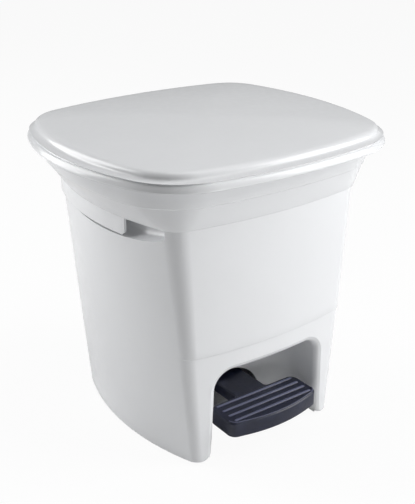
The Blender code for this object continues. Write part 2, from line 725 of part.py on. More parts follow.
def make_pedal():
    """Pedal lever: hollow ribbed tread, arm to the axle, hub, and a tail to the push rod."""
    low = TREAD_TOP_Z - TREAD_THICKNESS
    pedal = prism("pedal_lever", tread_outline(), "z", low, TREAD_TOP_Z, plastic("pedal_navy", NAVY))
    hollow = tread_outline(TREAD_WALL)
    cut(pedal, prism("tread_hollow", hollow, "z", low - OVERRUN, TREAD_TOP_Z - TREAD_WALL))
    pitch = (TREAD_DEPTH - TREAD_BOW - 2 * TREAD_RIB_INSET) / (TREAD_RIBS - 1)
    for i in range(TREAD_RIBS):
        y = TREAD_FRONT_Y + TREAD_BOW + TREAD_RIB_INSET + i * pitch
        half = TREAD_HALF_WIDTH - TREAD_RIB_INSET
        points = [
            (y - TREAD_RIB_WIDTH / 2, TREAD_TOP_Z - FUSE), (y + TREAD_RIB_WIDTH / 2, TREAD_TOP_Z - FUSE),
            (y + TREAD_RIB_WIDTH / 3, TREAD_TOP_Z + TREAD_RIB_HEIGHT),
            (y - TREAD_RIB_WIDTH / 3, TREAD_TOP_Z + TREAD_RIB_HEIGHT),
        ]
        fuse(pedal, prism(f"tread_rib_{i}", points, "x", -half, half))
    arm_top = TREAD_TOP_Z - FUSE
    fuse(pedal, prism("arm", arm_outline(), "z", arm_top - ARM_THICKNESS, arm_top))
    hub = arc((PIVOT_Y, PIVOT_Z), HUB_RADIUS, 0, 2 * math.pi, ROUND_STEPS)[:-1]
    fuse(pedal, prism("hub", hub, "x", -ARM_HALF_WIDTH, ARM_HALF_WIDTH))
    half = TAIL_THICKNESS / 2
    tail = [(PIVOT_Y, PIVOT_Z - half), (ROD_LOW_Y, ROD_BOTTOM_Z - half)]
    tail += [(ROD_LOW_Y, ROD_BOTTOM_Z + half), (PIVOT_Y, PIVOT_Z + half)]
    fuse(pedal, prism("tail", tail, "x", -TAIL_HALF_WIDTH, TAIL_HALF_WIDTH))
    eye = arc((ROD_LOW_Y, ROD_BOTTOM_Z), TAIL_END_RADIUS, 0, 2 * math.pi, ROUND_STEPS)[:-1]
    fuse(pedal, prism("tail_eye", eye, "x", -TAIL_HALF_WIDTH, TAIL_HALF_WIDTH))
    axle_bore = AXLE_RADIUS + PIN_CLEARANCE
    cut(pedal, cross_bore("hub_bore", -ARM_HALF_WIDTH, ARM_HALF_WIDTH, PIVOT_Y, PIVOT_Z, axle_bore))
    rod_bore = ROD_RADIUS + PIN_CLEARANCE
    cut(pedal, cross_bore("eye_bore", -TAIL_HALF_WIDTH, TAIL_HALF_WIDTH, ROD_LOW_Y, ROD_BOTTOM_Z, rod_bore))
    return pedal


def make_rod():
    """Push rod: a wire with a hook at each end and a crank below the hinge, and its two clips."""
    low_end = TAIL_HALF_WIDTH + CLIP_WIDTH + 2 * SEAT_GAP + ROD_RADIUS
    high_end = LEVER_THICKNESS / 2 + CLIP_WIDTH + 2 * SEAT_GAP + ROD_RADIUS
    corners = [
        (low_end, ROD_LOW_Y, ROD_BOTTOM_Z), (ROD_X, ROD_LOW_Y, ROD_BOTTOM_Z),
        (ROD_X, ROD_LOW_Y, ROD_CRANK_LOW_Z), (ROD_X, ROD_HIGH_Y, ROD_CRANK_HIGH_Z - ROD_RADIUS * 3),
        (ROD_X, ROD_HIGH_Y, ROD_TOP_Z), (high_end, ROD_HIGH_Y, ROD_TOP_Z),
    ]
    rod = wire("push_rod", rounded_path(corners, ROD_RADIUS * 1.5), ROD_RADIUS, steel("rod_steel"))
    clips = []
    places = [("rod_clip_lower", TAIL_HALF_WIDTH, ROD_LOW_Y, ROD_BOTTOM_Z),
              ("rod_clip_upper", LEVER_THICKNESS / 2, ROD_HIGH_Y, ROD_TOP_Z)]
    for name, face, y, z in places:
        profile = [(0, CLIP_RADIUS), (CLIP_WIDTH, CLIP_RADIUS)]
        clip = turned(name, Vector((face + SEAT_GAP, y, z)), "x", profile, plastic(name + "_nylon", NAVY))
        bore = ROD_RADIUS + SEAT_GAP
        cut(clip, cross_bore(name + "_bore", face, face + CLIP_WIDTH, y, z, bore))
        clips.append(clip)
    return [rod, *clips]


def make_rod_cover():
    """Cover strip on the rear wall that keeps the bucket off the push rod."""
    inner = ROD_RADIUS + COVER_GAP
    outer = inner + COVER_WALL
    front = ROD_LOW_Y - inner
    rings = []
    for z in (COVER_LOW_Z, BELLY_Z, COVER_HIGH_Z):
        def seat(x):
            return wall_back_y(x, z) - WALL_GAP
        left, right = ROD_X - outer, ROD_X + outer
        far_left, far_right = left - COVER_FLANGE, right + COVER_FLANGE
        points = [
            (far_left, seat(far_left)), (far_left, seat(far_left) - COVER_WALL),
            (left, seat(left) - COVER_WALL), (left, front - COVER_WALL),
            (right, front - COVER_WALL), (right, seat(right) - COVER_WALL),
            (far_right, seat(far_right) - COVER_WALL), (far_right, seat(far_right)),
            (ROD_X + inner, seat(ROD_X + inner)), (ROD_X + inner, front),
            (ROD_X - inner, front), (ROD_X - inner, seat(ROD_X - inner)),
        ]
        rings.append([Vector((x, y, z)) for x, y in points])
    return loft("rod_cover", rings, plastic("cover_white"))


def lid_section():
    """Outside of the lid as (inset from the widest outline, height above its edge) pairs."""
    flange = [
        (LID_CREASE, 0), (0, LID_CREASE), (0, LID_CREASE_Z - LID_CREASE), (LID_CREASE, LID_CREASE_Z),
        (0, LID_CREASE_Z + LID_CREASE), (LID_CREASE / 2, LID_FLANGE_TOP),
    ]
    cove_shares = [(0.14, 0.18), (0.34, 0.38), (0.53, 0.51), (0.66, 0.64), (0.78, 0.83), (1.0, 1.0)]
    rise = LID_SHOULDER_Z - LID_FLANGE_TOP
    cove = [(LID_SHOULDER_INSET * u, LID_FLANGE_TOP + rise * v) for u, v in cove_shares]
    return flange + cove + [(LID_PLATEAU_INSET, LID_PLATEAU_Z)]


def offset_section(section, amount):
    """The section moved inwards, square to itself."""
    moved = []
    for i, (u, v) in enumerate(section):
        before = section[max(i - 1, 0)]
        after = section[min(i + 1, len(section) - 1)]
        run, rise = after[0] - before[0], after[1] - before[1]
        length = math.hypot(run, rise)
        moved.append((u + amount * rise / length, v - amount * run / length))
    return moved


def lid_rings(inner):
    """Rings of the lid's outside, or of the hollow under it."""
    section = lid_section()
    top = LID_DOME_Z
    if inner:
        section = offset_section([(LID_CREASE / 2, -OVERRUN), (LID_CREASE / 2, LID_FLANGE_TOP), *section[6:]], LID_WALL)
        top = LID_DOME_Z - LID_WALL
    rings = [ring(grow(LID, -u), LID_EDGE_Z + v) for u, v in section]
    edge = rings[-1]
    edge_z = edge[0].z
    crown_z = LID_EDGE_Z + top
    for share in (0.8, 0.55, 0.25):
        z = edge_z + (crown_z - edge_z) * (1 - share ** 2)
        rings.append([Vector((p.x * share, p.y * share, z)) for p in edge])
    return rings


def seat_rib():
    """Band under the lid that comes down onto the casing's rim."""
    middle = grow(CASING_RIM, -CASING_WALL / 2)
    low = RIM_Z + SEAT_GAP
    high = LID_EDGE_Z + LID_DOME_Z
    outer = grow(middle, SEAT_RIB_WALL / 2)
    inner = grow(middle, -SEAT_RIB_WALL / 2)
    rings = [ring(outer, low), ring(outer, high), ring(inner, high), ring(inner, low)]
    rib = loft("lid_seat_rib", rings, close=True)
    width = CASING_RIM.half_width + OVERRUN
    far = CASING_RIM.back + OVERRUN
    points = [(-width, SEAT_RIB_BACK_Y), (width, SEAT_RIB_BACK_Y), (width, far), (-width, far)]
    return cut(rib, prism("rib_gap", points, "z", low - OVERRUN, high + OVERRUN))


def knuckle(name, side, top_z):
    """A hinge knuckle below the lid, up to a given height."""
    x_low, x_high = (side * HINGE_X + edge * KNUCKLE_WIDTH / 2 for edge in (-1, 1))
    points = [(HINGE_Y + KNUCKLE_RADIUS, top_z), (HINGE_Y - KNUCKLE_RADIUS, top_z)]
    points += arc((HINGE_Y, HINGE_Z), KNUCKLE_RADIUS, math.pi, 2 * math.pi, 10)
    return prism(name, points, "x", x_low, x_high)


def make_lid():
    """Lid shell: domed top, rolled edge, flared flange, seat rib, knuckles and lever bosses.

    What stands up inside the shell is kept out of the hollow that is cut, so it ends at the skin.
    """
    lid = loft("lid_shell", lid_rings(False), plastic("lid_white"))
    hollow = loft("lid_hollow", lid_rings(True))
    above = LID_EDGE_Z + LID_DOME_Z + OVERRUN
    sides = (-1, 1)
    boss_low = lever_plate_z() + LEVER_PLATE + SEAT_GAP
    height = above - boss_low
    boss_span = [(0, LEVER_BOSS_RADIUS), (height, LEVER_BOSS_RADIUS)]
    places = {side: Vector((side * LEVER_BOSS_X, LEVER_SCREW_Y, boss_low)) for side in sides}
    cut(hollow, seat_rib())
    cut(hollow, *(knuckle(f"knuckle_root_{side}", side, above) for side in sides))
    cut(hollow, *(turned(f"lever_boss_{side}", places[side], "z", boss_span) for side in sides))
    cut(lid, hollow)
    fuse(lid, *(knuckle(f"knuckle_{side}", side, HINGE_Z + KNUCKLE_RADIUS + OVERRUN) for side in sides))
    reach = HINGE_X + KNUCKLE_WIDTH
    cut(lid, cross_bore("knuckle_bore", -reach, reach, HINGE_Y, HINGE_Z, PIN_RADIUS + PIN_CLEARANCE))
    hole = SCREW_RADIUS + PIN_CLEARANCE
    hole_span = [(-OVERRUN, hole), (LEVER_BOSS_RADIUS + LEVER_PLATE, hole)]
    cut(lid, *(turned(f"lever_hole_{side}", places[side], "z", hole_span) for side in sides))
    return lid


def lever_plate_z():
    """Underside of the lever's plate."""
    return LID_EDGE_Z + LID_PLATEAU_Z - LID_WALL - LEVER_BOSS_RADIUS * 2 - LEVER_PLATE


def make_lid_lever():
    """Lever under the lid: a plate screwed to two bosses, and a slotted tongue for the rod."""
    low = lever_plate_z()
    back = ROD_HIGH_Y + LEVER_END_RADIUS
    front = back - LEVER_PLATE_DEPTH
    half = LEVER_PLATE_HALF_WIDTH
    plate = [(-half, front), (half, front), (half, back), (-half, back)]
    lever = prism("lid_lever", plate, "z", low, low + LEVER_PLATE, plastic("lever_white"))
    turn = math.pi + LID_TRAVEL / 2
    near, far = ROD_OFFSET, ROD_OFFSET / math.cos(LID_TRAVEL / 2)
    middle = (near + far) / 2
    centre = (HINGE_Y + middle * math.cos(turn), HINGE_Z + middle * math.sin(turn))
    tongue = arc(centre, LEVER_END_RADIUS, math.pi, 2 * math.pi, 8)
    tongue += [(centre[0] + LEVER_END_RADIUS, low + FUSE), (centre[0] - LEVER_END_RADIUS, low + FUSE)]
    fuse(lever, prism("tongue", tongue, "x", -LEVER_THICKNESS / 2, LEVER_THICKNESS / 2))
    wide = ROD_RADIUS + LEVER_SIDE_SLACK
    long = (far - near) / 2 + LEVER_END_SLACK
    slot = []
    for point in arc((long - LEVER_SIDE_SLACK + LEVER_END_SLACK, 0), wide, -math.pi / 2, math.pi / 2, 6):
        slot.append(point)
    slot += [(-x, -y) for x, y in slot]
    slot = [
        (centre[0] + x * math.cos(turn) - y * math.sin(turn), centre[1] + x * math.sin(turn) + y * math.cos(turn))
        for x, y in slot
    ]
    cut(lever, prism("tongue_slot", slot, "x", -LEVER_THICKNESS, LEVER_THICKNESS))
    for side in (-1, 1):
        span = [(-OVERRUN, SCREW_RADIUS + PIN_CLEARANCE), (2 * OVERRUN, SCREW_RADIUS + PIN_CLEARANCE)]
        cut(lever, turned(f"lever_bore_{side}", Vector((side * LEVER_BOSS_X, LEVER_SCREW_Y, low)), "z", span))
    return lever


def make_lever_screws():
    """Two screws that hold the lever under the lid."""
    length = SCREW_HEAD_RADIUS + LEVER_PLATE
    screws = []
    for side, name in ((-1, "lever_screw_left"), (1, "lever_screw_right")):
        seat = Vector((side * LEVER_BOSS_X, LEVER_SCREW_Y, lever_plate_z() - SEAT_GAP))
        screws.append(make_screw(name, seat, length))
    return screws


def make_hinge_pins():
    """A headed pin through each pair of ears."""
    pins = []
    for side, name in ((-1, "hinge_pin_left"), (1, "hinge_pin_right")):
        reach = KNUCKLE_WIDTH / 2 + SEAT_GAP + EAR_THICKNESS + SEAT_GAP
        profile = [
            (-reach - PIN_HEAD, PIN_HEAD_RADIUS), (-reach, PIN_HEAD_RADIUS), (-reach, PIN_RADIUS),
            (reach + PIN_HEAD, PIN_RADIUS),
        ]
        pins.append(turned(name, Vector((side * HINGE_X, HINGE_Y, HINGE_Z)), "x", profile, steel(name + "_steel")))
    return pins


def bucket_outline(share, inset=0.0):
    return grow(blend(BUCKET_FLOOR, BUCKET_TOP, share), -inset)


def make_bucket():
    """Inner bucket: tapered, with a rounded foot, an outward flange and two ears for the bail."""
    floor = NICHE_TOP_Z + NICHE_WALL + SEAT_GAP
    height = BUCKET_TOP_Z - floor
    foot_share = BUCKET_FOOT_ROUND / height
    rows = [
        (floor, bucket_outline(0, BUCKET_FOOT_ROUND)),
        (floor + BUCKET_FOOT_ROUND * 0.3, bucket_outline(0, BUCKET_FOOT_ROUND * 0.3)),
        (floor + BUCKET_FOOT_ROUND, bucket_outline(foot_share)),
        (BUCKET_TOP_Z - BUCKET_WALL, bucket_outline(1)),
        (BUCKET_TOP_Z - BUCKET_WALL, bucket_outline(1, -BUCKET_FLANGE + BUCKET_WALL)),
        (BUCKET_TOP_Z - BUCKET_FLANGE_DROP, bucket_outline(1, -BUCKET_FLANGE + BUCKET_WALL)),
        (BUCKET_TOP_Z - BUCKET_FLANGE_DROP, bucket_outline(1, -BUCKET_FLANGE)),
        (BUCKET_TOP_Z - BUCKET_WALL / 2, bucket_outline(1, -BUCKET_FLANGE)),
        (BUCKET_TOP_Z, bucket_outline(1, -BUCKET_FLANGE + BUCKET_WALL / 2)),
        (BUCKET_TOP_Z, bucket_outline(1, BUCKET_WALL)),
        (floor + BUCKET_FOOT_ROUND + BUCKET_WALL, bucket_outline(foot_share, BUCKET_WALL)),
        (floor + BUCKET_WALL, bucket_outline(0, BUCKET_FOOT_ROUND)),
    ]
    bucket = loft("inner_bucket", [ring(outline, z) for z, outline in rows], plastic("bucket_white"))
    pivot_z = BUCKET_TOP_Z + SEAT_GAP + BAIL_RADIUS
    edge = bail_ear_x()
    for side in (-1, 1):
        x_low, x_high = sorted((side * edge, side * (edge - BAIL_EAR_THICKNESS)))
        points = arc((BAIL_PIVOT_Y, pivot_z), BAIL_EAR_RADIUS, 0, math.pi, 8)
        points += [(BAIL_PIVOT_Y - BAIL_EAR_RADIUS, BUCKET_TOP_Z - FUSE)]
        points += [(BAIL_PIVOT_Y + BAIL_EAR_RADIUS, BUCKET_TOP_Z - FUSE)]
        fuse(bucket, prism(f"bail_ear_{side}", points, "x", x_low, x_high))
    cut(bucket, cross_bore("bail_bore", -edge, edge, BAIL_PIVOT_Y, pivot_z, BAIL_RADIUS + PIN_CLEARANCE))
    return bucket


def bail_ear_x():
    """Outer face of the bail's ears, at the edge of the bucket's flange."""
    flange = bucket_outline(1, -BUCKET_FLANGE)
    return flange.half_width - BUCKET_WALL


def make_bail():
    """Wire bail lying on the bucket's flange, with a roll to hold it by."""
    z = BUCKET_TOP_Z + SEAT_GAP + BAIL_RADIUS
    leg = bail_ear_x() - BAIL_EAR_THICKNESS - BAIL_RADIUS - 2 * SEAT_GAP
    tip = bail_ear_x() + BAIL_RADIUS
    front = BAIL_PIVOT_Y - BAIL_REACH
    hook = [(tip, BAIL_PIVOT_Y), (leg, BAIL_PIVOT_Y)]
    path = [Vector((x, y, z)) for x, y in hook]
    corner = arc((leg - BAIL_CORNER, front + BAIL_CORNER), BAIL_CORNER, 0, -math.pi / 2, 10)
    path += [Vector((x, y, z)) for x, y in corner]
    path += [Vector((-p.x, p.y, p.z)) for p in path[::-1]]
    bail = wire("bucket_bail", path, BAIL_RADIUS, steel("bail_steel"))
    half = GRIP_ROLL_HALF_LENGTH
    profile = [(-half, GRIP_ROLL_RADIUS - FUSE), (-half + FUSE, GRIP_ROLL_RADIUS)]
    profile += [(half - FUSE, GRIP_ROLL_RADIUS), (half, GRIP_ROLL_RADIUS - FUSE)]
    roll = turned("bail_grip", Vector((0, front, z)), "x", profile, plastic("grip_white"))
    cut(roll, cross_bore("roll_bore", -half, half, front, z, BAIL_RADIUS + SEAT_GAP))
    return [bail, roll]


def main():
    clear_scene()
    make_casing()
    make_base_plate()
    make_base_screws()
    make_feet()
    make_axle()
    make_rod_cover()
    make_hinge_pins()
    lid_axis = axis_empty("lid_hinge_axis", Vector((0, HINGE_Y, HINGE_Z)))
    hang_on(lid_axis, make_lid(), make_lid_lever(), *make_lever_screws())
    pedal_axis = axis_empty("pedal_pivot_axis", Vector((0, PIVOT_Y, PIVOT_Z)))
    hang_on(pedal_axis, make_pedal())
    rod_axis = axis_empty("rod_pivot_axis", Vector((0, ROD_LOW_Y, ROD_BOTTOM_Z)))
    hang_on(rod_axis, *make_rod())
    make_bucket()
    bail_axis = axis_empty("bail_axis", Vector((0, BAIL_PIVOT_Y, BUCKET_TOP_Z + SEAT_GAP + BAIL_RADIUS)))
    hang_on(bail_axis, *make_bail())


main()
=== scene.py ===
"""Pedal bin with a lift-out bucket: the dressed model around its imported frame.

Metres, +Z up, X across, -Y towards the user. The origin is on the floor below the lid's middle.
"""

import math
from collections import namedtuple

import bmesh
import bpy
from bpy.props import FloatProperty, FloatVectorProperty, IntProperty, PointerProperty
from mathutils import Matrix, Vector


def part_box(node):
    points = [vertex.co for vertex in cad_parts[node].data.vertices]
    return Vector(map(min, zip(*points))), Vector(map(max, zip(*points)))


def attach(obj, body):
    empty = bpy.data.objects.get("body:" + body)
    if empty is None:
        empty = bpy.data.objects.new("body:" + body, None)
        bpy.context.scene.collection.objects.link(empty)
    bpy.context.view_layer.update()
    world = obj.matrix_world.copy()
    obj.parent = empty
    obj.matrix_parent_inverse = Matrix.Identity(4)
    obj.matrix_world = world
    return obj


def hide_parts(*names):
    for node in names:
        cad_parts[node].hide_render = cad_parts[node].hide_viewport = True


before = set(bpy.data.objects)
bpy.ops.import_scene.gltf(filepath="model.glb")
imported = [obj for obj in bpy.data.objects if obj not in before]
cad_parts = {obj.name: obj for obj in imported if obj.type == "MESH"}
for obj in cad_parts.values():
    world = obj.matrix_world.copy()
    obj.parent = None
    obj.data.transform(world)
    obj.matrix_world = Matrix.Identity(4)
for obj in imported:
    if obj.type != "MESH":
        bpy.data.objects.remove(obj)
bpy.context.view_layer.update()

bl_info = {
    "name": "Pedal bin",
    "version": (1, 0, 0),
    "blender": (4, 5, 0),
    "location": "3D View > Sidebar > Pedal bin",
    "description": "Moulded pedal bin with a lift-out bucket, dressed piece by piece around its frame",
    "category": "Object",
}

mm = 0.001
HALF_TURN = math.pi
QUARTER = math.pi / 2

# Rounded rectangle with bowed sides
Outline = namedtuple("Outline", "half_width front back end_arc side_arc corner")

# Faces along each stretch of an outline
END_STEPS = 22
CORNER_STEPS = 26
SIDE_STEPS = 20
ROUND_STEPS = 48


def size(label, about, value):
    """A length that a user may change."""
    return FloatProperty(name=label, description=about, default=value * mm, unit="LENGTH",
                         subtype="DISTANCE", precision=5)


def outline_size(label, *values):
    """An outline that a user may change."""
    about = "Half width, depth to the front and back, bow of the ends and sides, corner radius"
    return FloatVectorProperty(name=label, description=about, size=6, unit="LENGTH", precision=5,
                               default=[value * mm for value in values])


def share(label, about, value):
    return FloatProperty(name=label, description=about, default=value, min=0.0, max=1.0, subtype="FACTOR")


def count(label, about, value):
    return IntProperty(name=label, description=about, default=value, min=1)


def colour(label, about, value):
    return FloatVectorProperty(name=label, description=about, default=value, size=3, subtype="COLOR",
                               min=0.0, max=1.0)


class CasingSizes(bpy.types.PropertyGroup):
    """Sizes of the outer casing."""
    base: outline_size("Base outline", 94.8, 100.6, 100.6, 386, 246, 12)
    belly: outline_size("Belly outline", 104, 101.9, 101.9, 424, 250, 16)
    band_two: outline_size("Lower band outline", 113.6, 103.7, 103.7, 464, 254, 22)
    band_one: outline_size("Upper band outline", 129, 112.1, 112.1, 526, 274, 57)
    rim: outline_size("Rim outline", 134.5, 117.3, 117.3, 526, 260, 60)
    foot_z: size("Foot height", "Height of the casing's lower edge", 2)
    belly_z: size("Belly line height", "Height of the moulded line above the niche", 108)
    band_two_z: size("Lower band height", "Height of the lower band's edge", 225)
    band_one_z: size("Upper band height", "Height of the upper band's edge", 246)
    rim_z: size("Rim height", "Height of the rim", 266)
    wall: size("Wall", "Thickness of the wall", 2.4)
    belly_step: size("Belly step", "How far the front stands out above the belly line", 1.5)
    band_step: size("Band step", "How far each band stands out", 1.2)
    step_rise: size("Step rise", "Height over which a band's edge rounds off", 1.1)
    edge_round: size("Edge rounding", "Rounding of the rim and the foot", 0.8)
    niche_half_width: size("Niche half width", "Half width of the foot niche at the floor", 59.5)
    niche_taper: size("Niche taper", "How much each jamb leans in by the roof", 3)
    niche_top_z: size("Niche roof", "Height of the niche's roof", 87)
    niche_back_y: size("Niche back", "Place of the niche's back wall", -38)
    niche_corner: size("Niche corner", "Radius of the niche's back corners", 26)
    niche_top_radius: size("Niche roof radius", "Radius of the niche's roof edge", 16)
    niche_wall: size("Niche wall", "Thickness of the niche's wall", 2.2)
    niche_mouth: size("Niche mouth", "Rounding of the niche's front edge", 7)
    leg_round: size("Leg rounding", "Rounding of the legs' lower corners beside the niche", 7)
    arch_radius: size("Arch radius", "Radius of the opening for the pedal's arm", 38)
    arch_z: size("Arch centre", "Height of the arch's centre", 7)
    grip_half_length: size("Grip half length", "Half length of the finger room", 84)
    grip_depth: size("Grip depth", "Depth of the finger room", 13)
    grip_height: size("Grip height", "Height of the finger room", 19)
    lip_front: size("Lip front", "How far the lip reaches forward", 43)
    lip_back: size("Lip back", "How far the lip reaches back", 87)
    lip_drop: size("Lip drop", "How far the lip hangs below the band", 15)
    lip_thickness: size("Lip thickness", "Thickness of the lip", 2.2)
    ear_thickness: size("Ear thickness", "Thickness of a hinge ear", 4)
    ear_depth: size("Ear depth", "How far an ear runs down the wall", 24)
    boss_radius: size("Boss radius", "Radius of a screw boss", 4.5)
    boss_height: size("Boss height", "Height of a screw boss", 26)
    rib_thickness: size("Rib thickness", "Thickness of a bucket rib", 2.4)
    rib_height: size("Rib height", "Height of a bucket rib", 30)
    rib_bearing: size("Rib bearing", "How far a bucket rib reaches under the bucket", 9)
    rear_rib_x: size("Rear rib offset", "Distance of each rear rib from the middle", 40)
    side_rib_y: size("Side rib depth", "Place of the side ribs", 34)
    plate_rise: size("Plate rise", "Height of the base plate above the casing's edge", 1)
    plate_thickness: size("Plate thickness", "Thickness of the base plate", 3)
    plate_gap: size("Plate gap", "Gap between the base plate and the casing", 0.5)
    post_gap: size("Post gap", "Gap between the pedal's arm and a post", 1)
    post_thickness: size("Post thickness", "Thickness of an axle post", 4)
    post_half_depth: size("Post half depth", "Half depth of a post's foot", 9)
    post_top: size("Post top", "Radius of a post's head", 7)
    cover_wall: size("Cover wall", "Thickness of the rod's cover", 1.6)
    cover_low_z: size("Cover foot", "Height where the rod's cover starts", 66)
    cover_high_z: size("Cover top", "Height where the rod's cover ends", 205)
    cover_gap: size("Cover gap", "Room round the rod in its cover", 2.2)
    cover_flange: size("Cover flange", "Width of each flange of the rod's cover", 7)


class HingeSizes(bpy.types.PropertyGroup):
    """Sizes of the lid's hinge and of what drives it."""
    axis_x: size("Hinge offset", "Distance of each hinge from the middle", 52)
    axis_y: size("Hinge depth", "Place of the hinge line", 111)
    axis_z: size("Hinge height", "Height of the hinge line", 264)
    knuckle_width: size("Knuckle width", "Width of a knuckle", 8)
    knuckle_radius: size("Knuckle radius", "Radius of a knuckle and of the ears", 6)
    pin_radius: size("Pin radius", "Radius of a hinge pin", 2)
    pin_head_radius: size("Pin head radius", "Radius of a pin's head", 3.6)
    pin_head: size("Pin head", "Thickness of a pin's head", 1.6)
    gap: size("Seat gap", "Gap between pieces that touch", 0.3)
    clearance: size("Running clearance", "Clearance round a pin", 0.25)
    lever_boss_x: size("Lever boss offset", "Distance of a lever boss from the middle", 11)
    lever_boss_y: size("Lever boss depth", "Place of the lever bosses", 84)
    lever_boss_radius: size("Lever boss radius", "Radius of a lever boss", 4.2)
    lever_boss_height: size("Lever boss height", "Least height of a lever boss", 8.4)
    lever_plate: size("Lever plate", "Thickness of the lever's plate", 3)
    lever_half_width: size("Lever half width", "Half width of the lever's plate", 17)
    lever_depth: size("Lever depth", "Depth of the lever's plate", 30)
    lever_thickness: size("Tongue thickness", "Thickness of the slotted tongue", 5)
    lever_end_radius: size("Tongue end", "Radius of the tongue's end", 6.5)
    slot_side_slack: size("Slot side slack", "Slack beside the rod in its slot", 0.9)
    slot_end_slack: size("Slot end slack", "Slack at each end of the slot", 0.45)


class LidSizes(bpy.types.PropertyGroup):
    """Sizes of the lid."""
    outline: outline_size("Lid outline", 147, 132.4, 132.4, 488, 222, 68)
    plateau: outline_size("Flat top outline", 127.6, 115, 115, 452, 299, 32)
    edge_z: size("Lid edge", "Height of the lid's lower edge", 265)
    wall: size("Wall", "Thickness of the lid", 2.2)
    crease: size("Crease", "Depth of the fine crease", 0.8)
    crease_z: size("Crease height", "Height of the crease above the edge", 6.3)
    flange_inset: size("Flange lean", "How far the flange leans in by its crease", 2.6)
    flange_top: size("Flange top", "Height of the flange above the edge", 7.3)
    plateau_z: size("Flat top height", "Height where the flat top starts, above the edge", 14.5)
    dome_z: size("Dome height", "Height of the dome above the edge", 19.2)
    seat_rib: size("Seat rib", "Thickness of the band that rests over the rim", 2)
    seat_rib_back: size("Seat rib end", "Where the band stops before the hinge", 92)


class PedalSizes(bpy.types.PropertyGroup):
    """Sizes of the pedal lever."""
    pivot_y: size("Pivot depth", "Place of the axle", -14)
    pivot_z: size("Pivot height", "Height of the axle", 34)
    front_y: size("Tread front", "Front of the tread", -116)
    bow: size("Tread bow", "How much the tread's front is bowed", 6)
    depth: size("Tread depth", "Depth of the tread", 42.5)
    half_width: size("Tread half width", "Half width of the tread", 49)
    corner: size("Tread corner", "Corner radius of the tread", 8)
    top_z: size("Tread top", "Height of the tread's top", 40)
    thickness: size("Tread thickness", "Height of the tread's skirt", 14)
    wall: size("Tread wall", "Wall of the hollow tread", 2.4)
    edge: size("Tread edge", "Rounding of the tread's upper edge", 1.8)
    ribs: count("Ribs", "Ribs across the tread", 4)
    rib_width: size("Rib width", "Width of a rib", 3)
    rib_height: size("Rib height", "Height of a rib", 1)
    bead_radius: size("Bead radius", "Radius of the bead along the tread's front edge", 0.8)
    rib_inset: size("Rib inset", "Distance of the ribs from the tread's edge", 5)
    arm_half_width: size("Arm half width", "Half width of the arm", 17)
    arm_fillet: size("Arm fillet", "Fillet between the arm and the tread", 4)
    arm_thickness: size("Arm thickness", "Thickness of the arm", 11)
    hub_radius: size("Hub radius", "Radius of the hub", 7.5)
    tail_half_width: size("Tail half width", "Half width of the tail", 5)
    tail_thickness: size("Tail thickness", "Thickness of the tail", 9)
    tail_end_radius: size("Tail end radius", "Radius of the tail's eye", 5.2)
    axle_radius: size("Axle radius", "Radius of the axle", 3)
    axle_head_radius: size("Axle head radius", "Radius of the axle's heads", 5)
    axle_head: size("Axle head", "Thickness of the axle's heads", 2)
    axle_reach: size("Axle reach", "Distance from the middle to the axle's head", 22.3)


class RodSizes(bpy.types.PropertyGroup):
    """Sizes of the push rod."""
    radius: size("Rod radius", "Radius of the rod's wire", 2)
    bend: size("Bend radius", "Radius of the rod's bends", 3)
    x: size("Rod offset", "Distance of the upright part from the middle", -8)
    low_y: size("Lower depth", "Place of the lower part", 84)
    high_y: size("Upper depth", "Place of the upper part", 98)
    low_z: size("Lower end", "Height of the lower hook", 24.897)
    high_z: size("Upper end", "Height of the upper hook", 254.897)
    crank_low_z: size("Crank start", "Height where the crank starts", 218)
    crank_high_z: size("Crank end", "Height where the crank ends", 240)
    low_end: size("Lower hook", "How far the lower hook reaches", 10.2)
    high_end: size("Upper hook", "How far the upper hook reaches", 7.7)
    clip_radius: size("Clip radius", "Radius of a push-on clip", 4.4)
    clip_width: size("Clip width", "Width of a push-on clip", 2.6)


class BucketSizes(bpy.types.PropertyGroup):
    """Sizes of the inner bucket and its bail."""
    floor: outline_size("Bucket floor outline", 80, 80, 68, 280, 240, 28)
    top: outline_size("Bucket top outline", 96, 97, 76, 330, 270, 40)
    floor_z: size("Bucket floor", "Height of the bucket's floor", 89.5)
    top_z: size("Bucket top", "Height of the bucket's rim", 250)
    wall: size("Wall", "Thickness of the bucket", 1.8)
    foot_round: size("Foot rounding", "Rounding of the bucket's foot", 5)
    flange: size("Flange", "Width of the rim's flange", 8)
    flange_drop: size("Flange drop", "Height of the rim's skirt", 6)
    bail_radius: size("Bail radius", "Radius of the bail's wire", 2)
    bail_y: size("Bail pivot", "Place of the bail's ears", -8)
    bail_reach: size("Bail reach", "How far the bail reaches forward", 77)
    bail_corner: size("Bail corner", "Corner radius of the bail", 44)
    ear_thickness: size("Ear thickness", "Thickness of a bail ear", 2.6)
    ear_radius: size("Ear radius", "Radius of a bail ear", 5.5)
    roll_radius: size("Roll radius", "Radius of the roll on the bail", 5)
    roll_half_length: size("Roll half length", "Half length of the roll", 34)
    roll_grooves: count("Roll grooves", "Grooves round the roll", 9)


class FixingSizes(bpy.types.PropertyGroup):
    """Sizes of the screws and feet."""
    shank_radius: size("Shank radius", "Radius of a screw's shank", 1.6)
    head_radius: size("Head radius", "Radius of a screw's head", 3.4)
    head: size("Head", "Thickness of a screw's head", 1.8)
    recess: size("Recess", "Width of the cross recess's slots", 0.9)
    foot_radius: size("Foot radius", "Radius of a rubber foot", 5.5)
    foot_height: size("Foot height", "Height of a rubber foot", 2.7)
    foot_round: size("Foot rounding", "Rounding of a foot's edge", 0.6)
    stem_radius: size("Stem radius", "Radius of a foot's stem", 2.6)
    barb_radius: size("Barb radius", "Radius of a foot's barb", 3.6)
    barb_z: size("Barb height", "Height of a foot's barb", 6.3)
    barb: size("Barb", "Length of a foot's barb", 2.4)


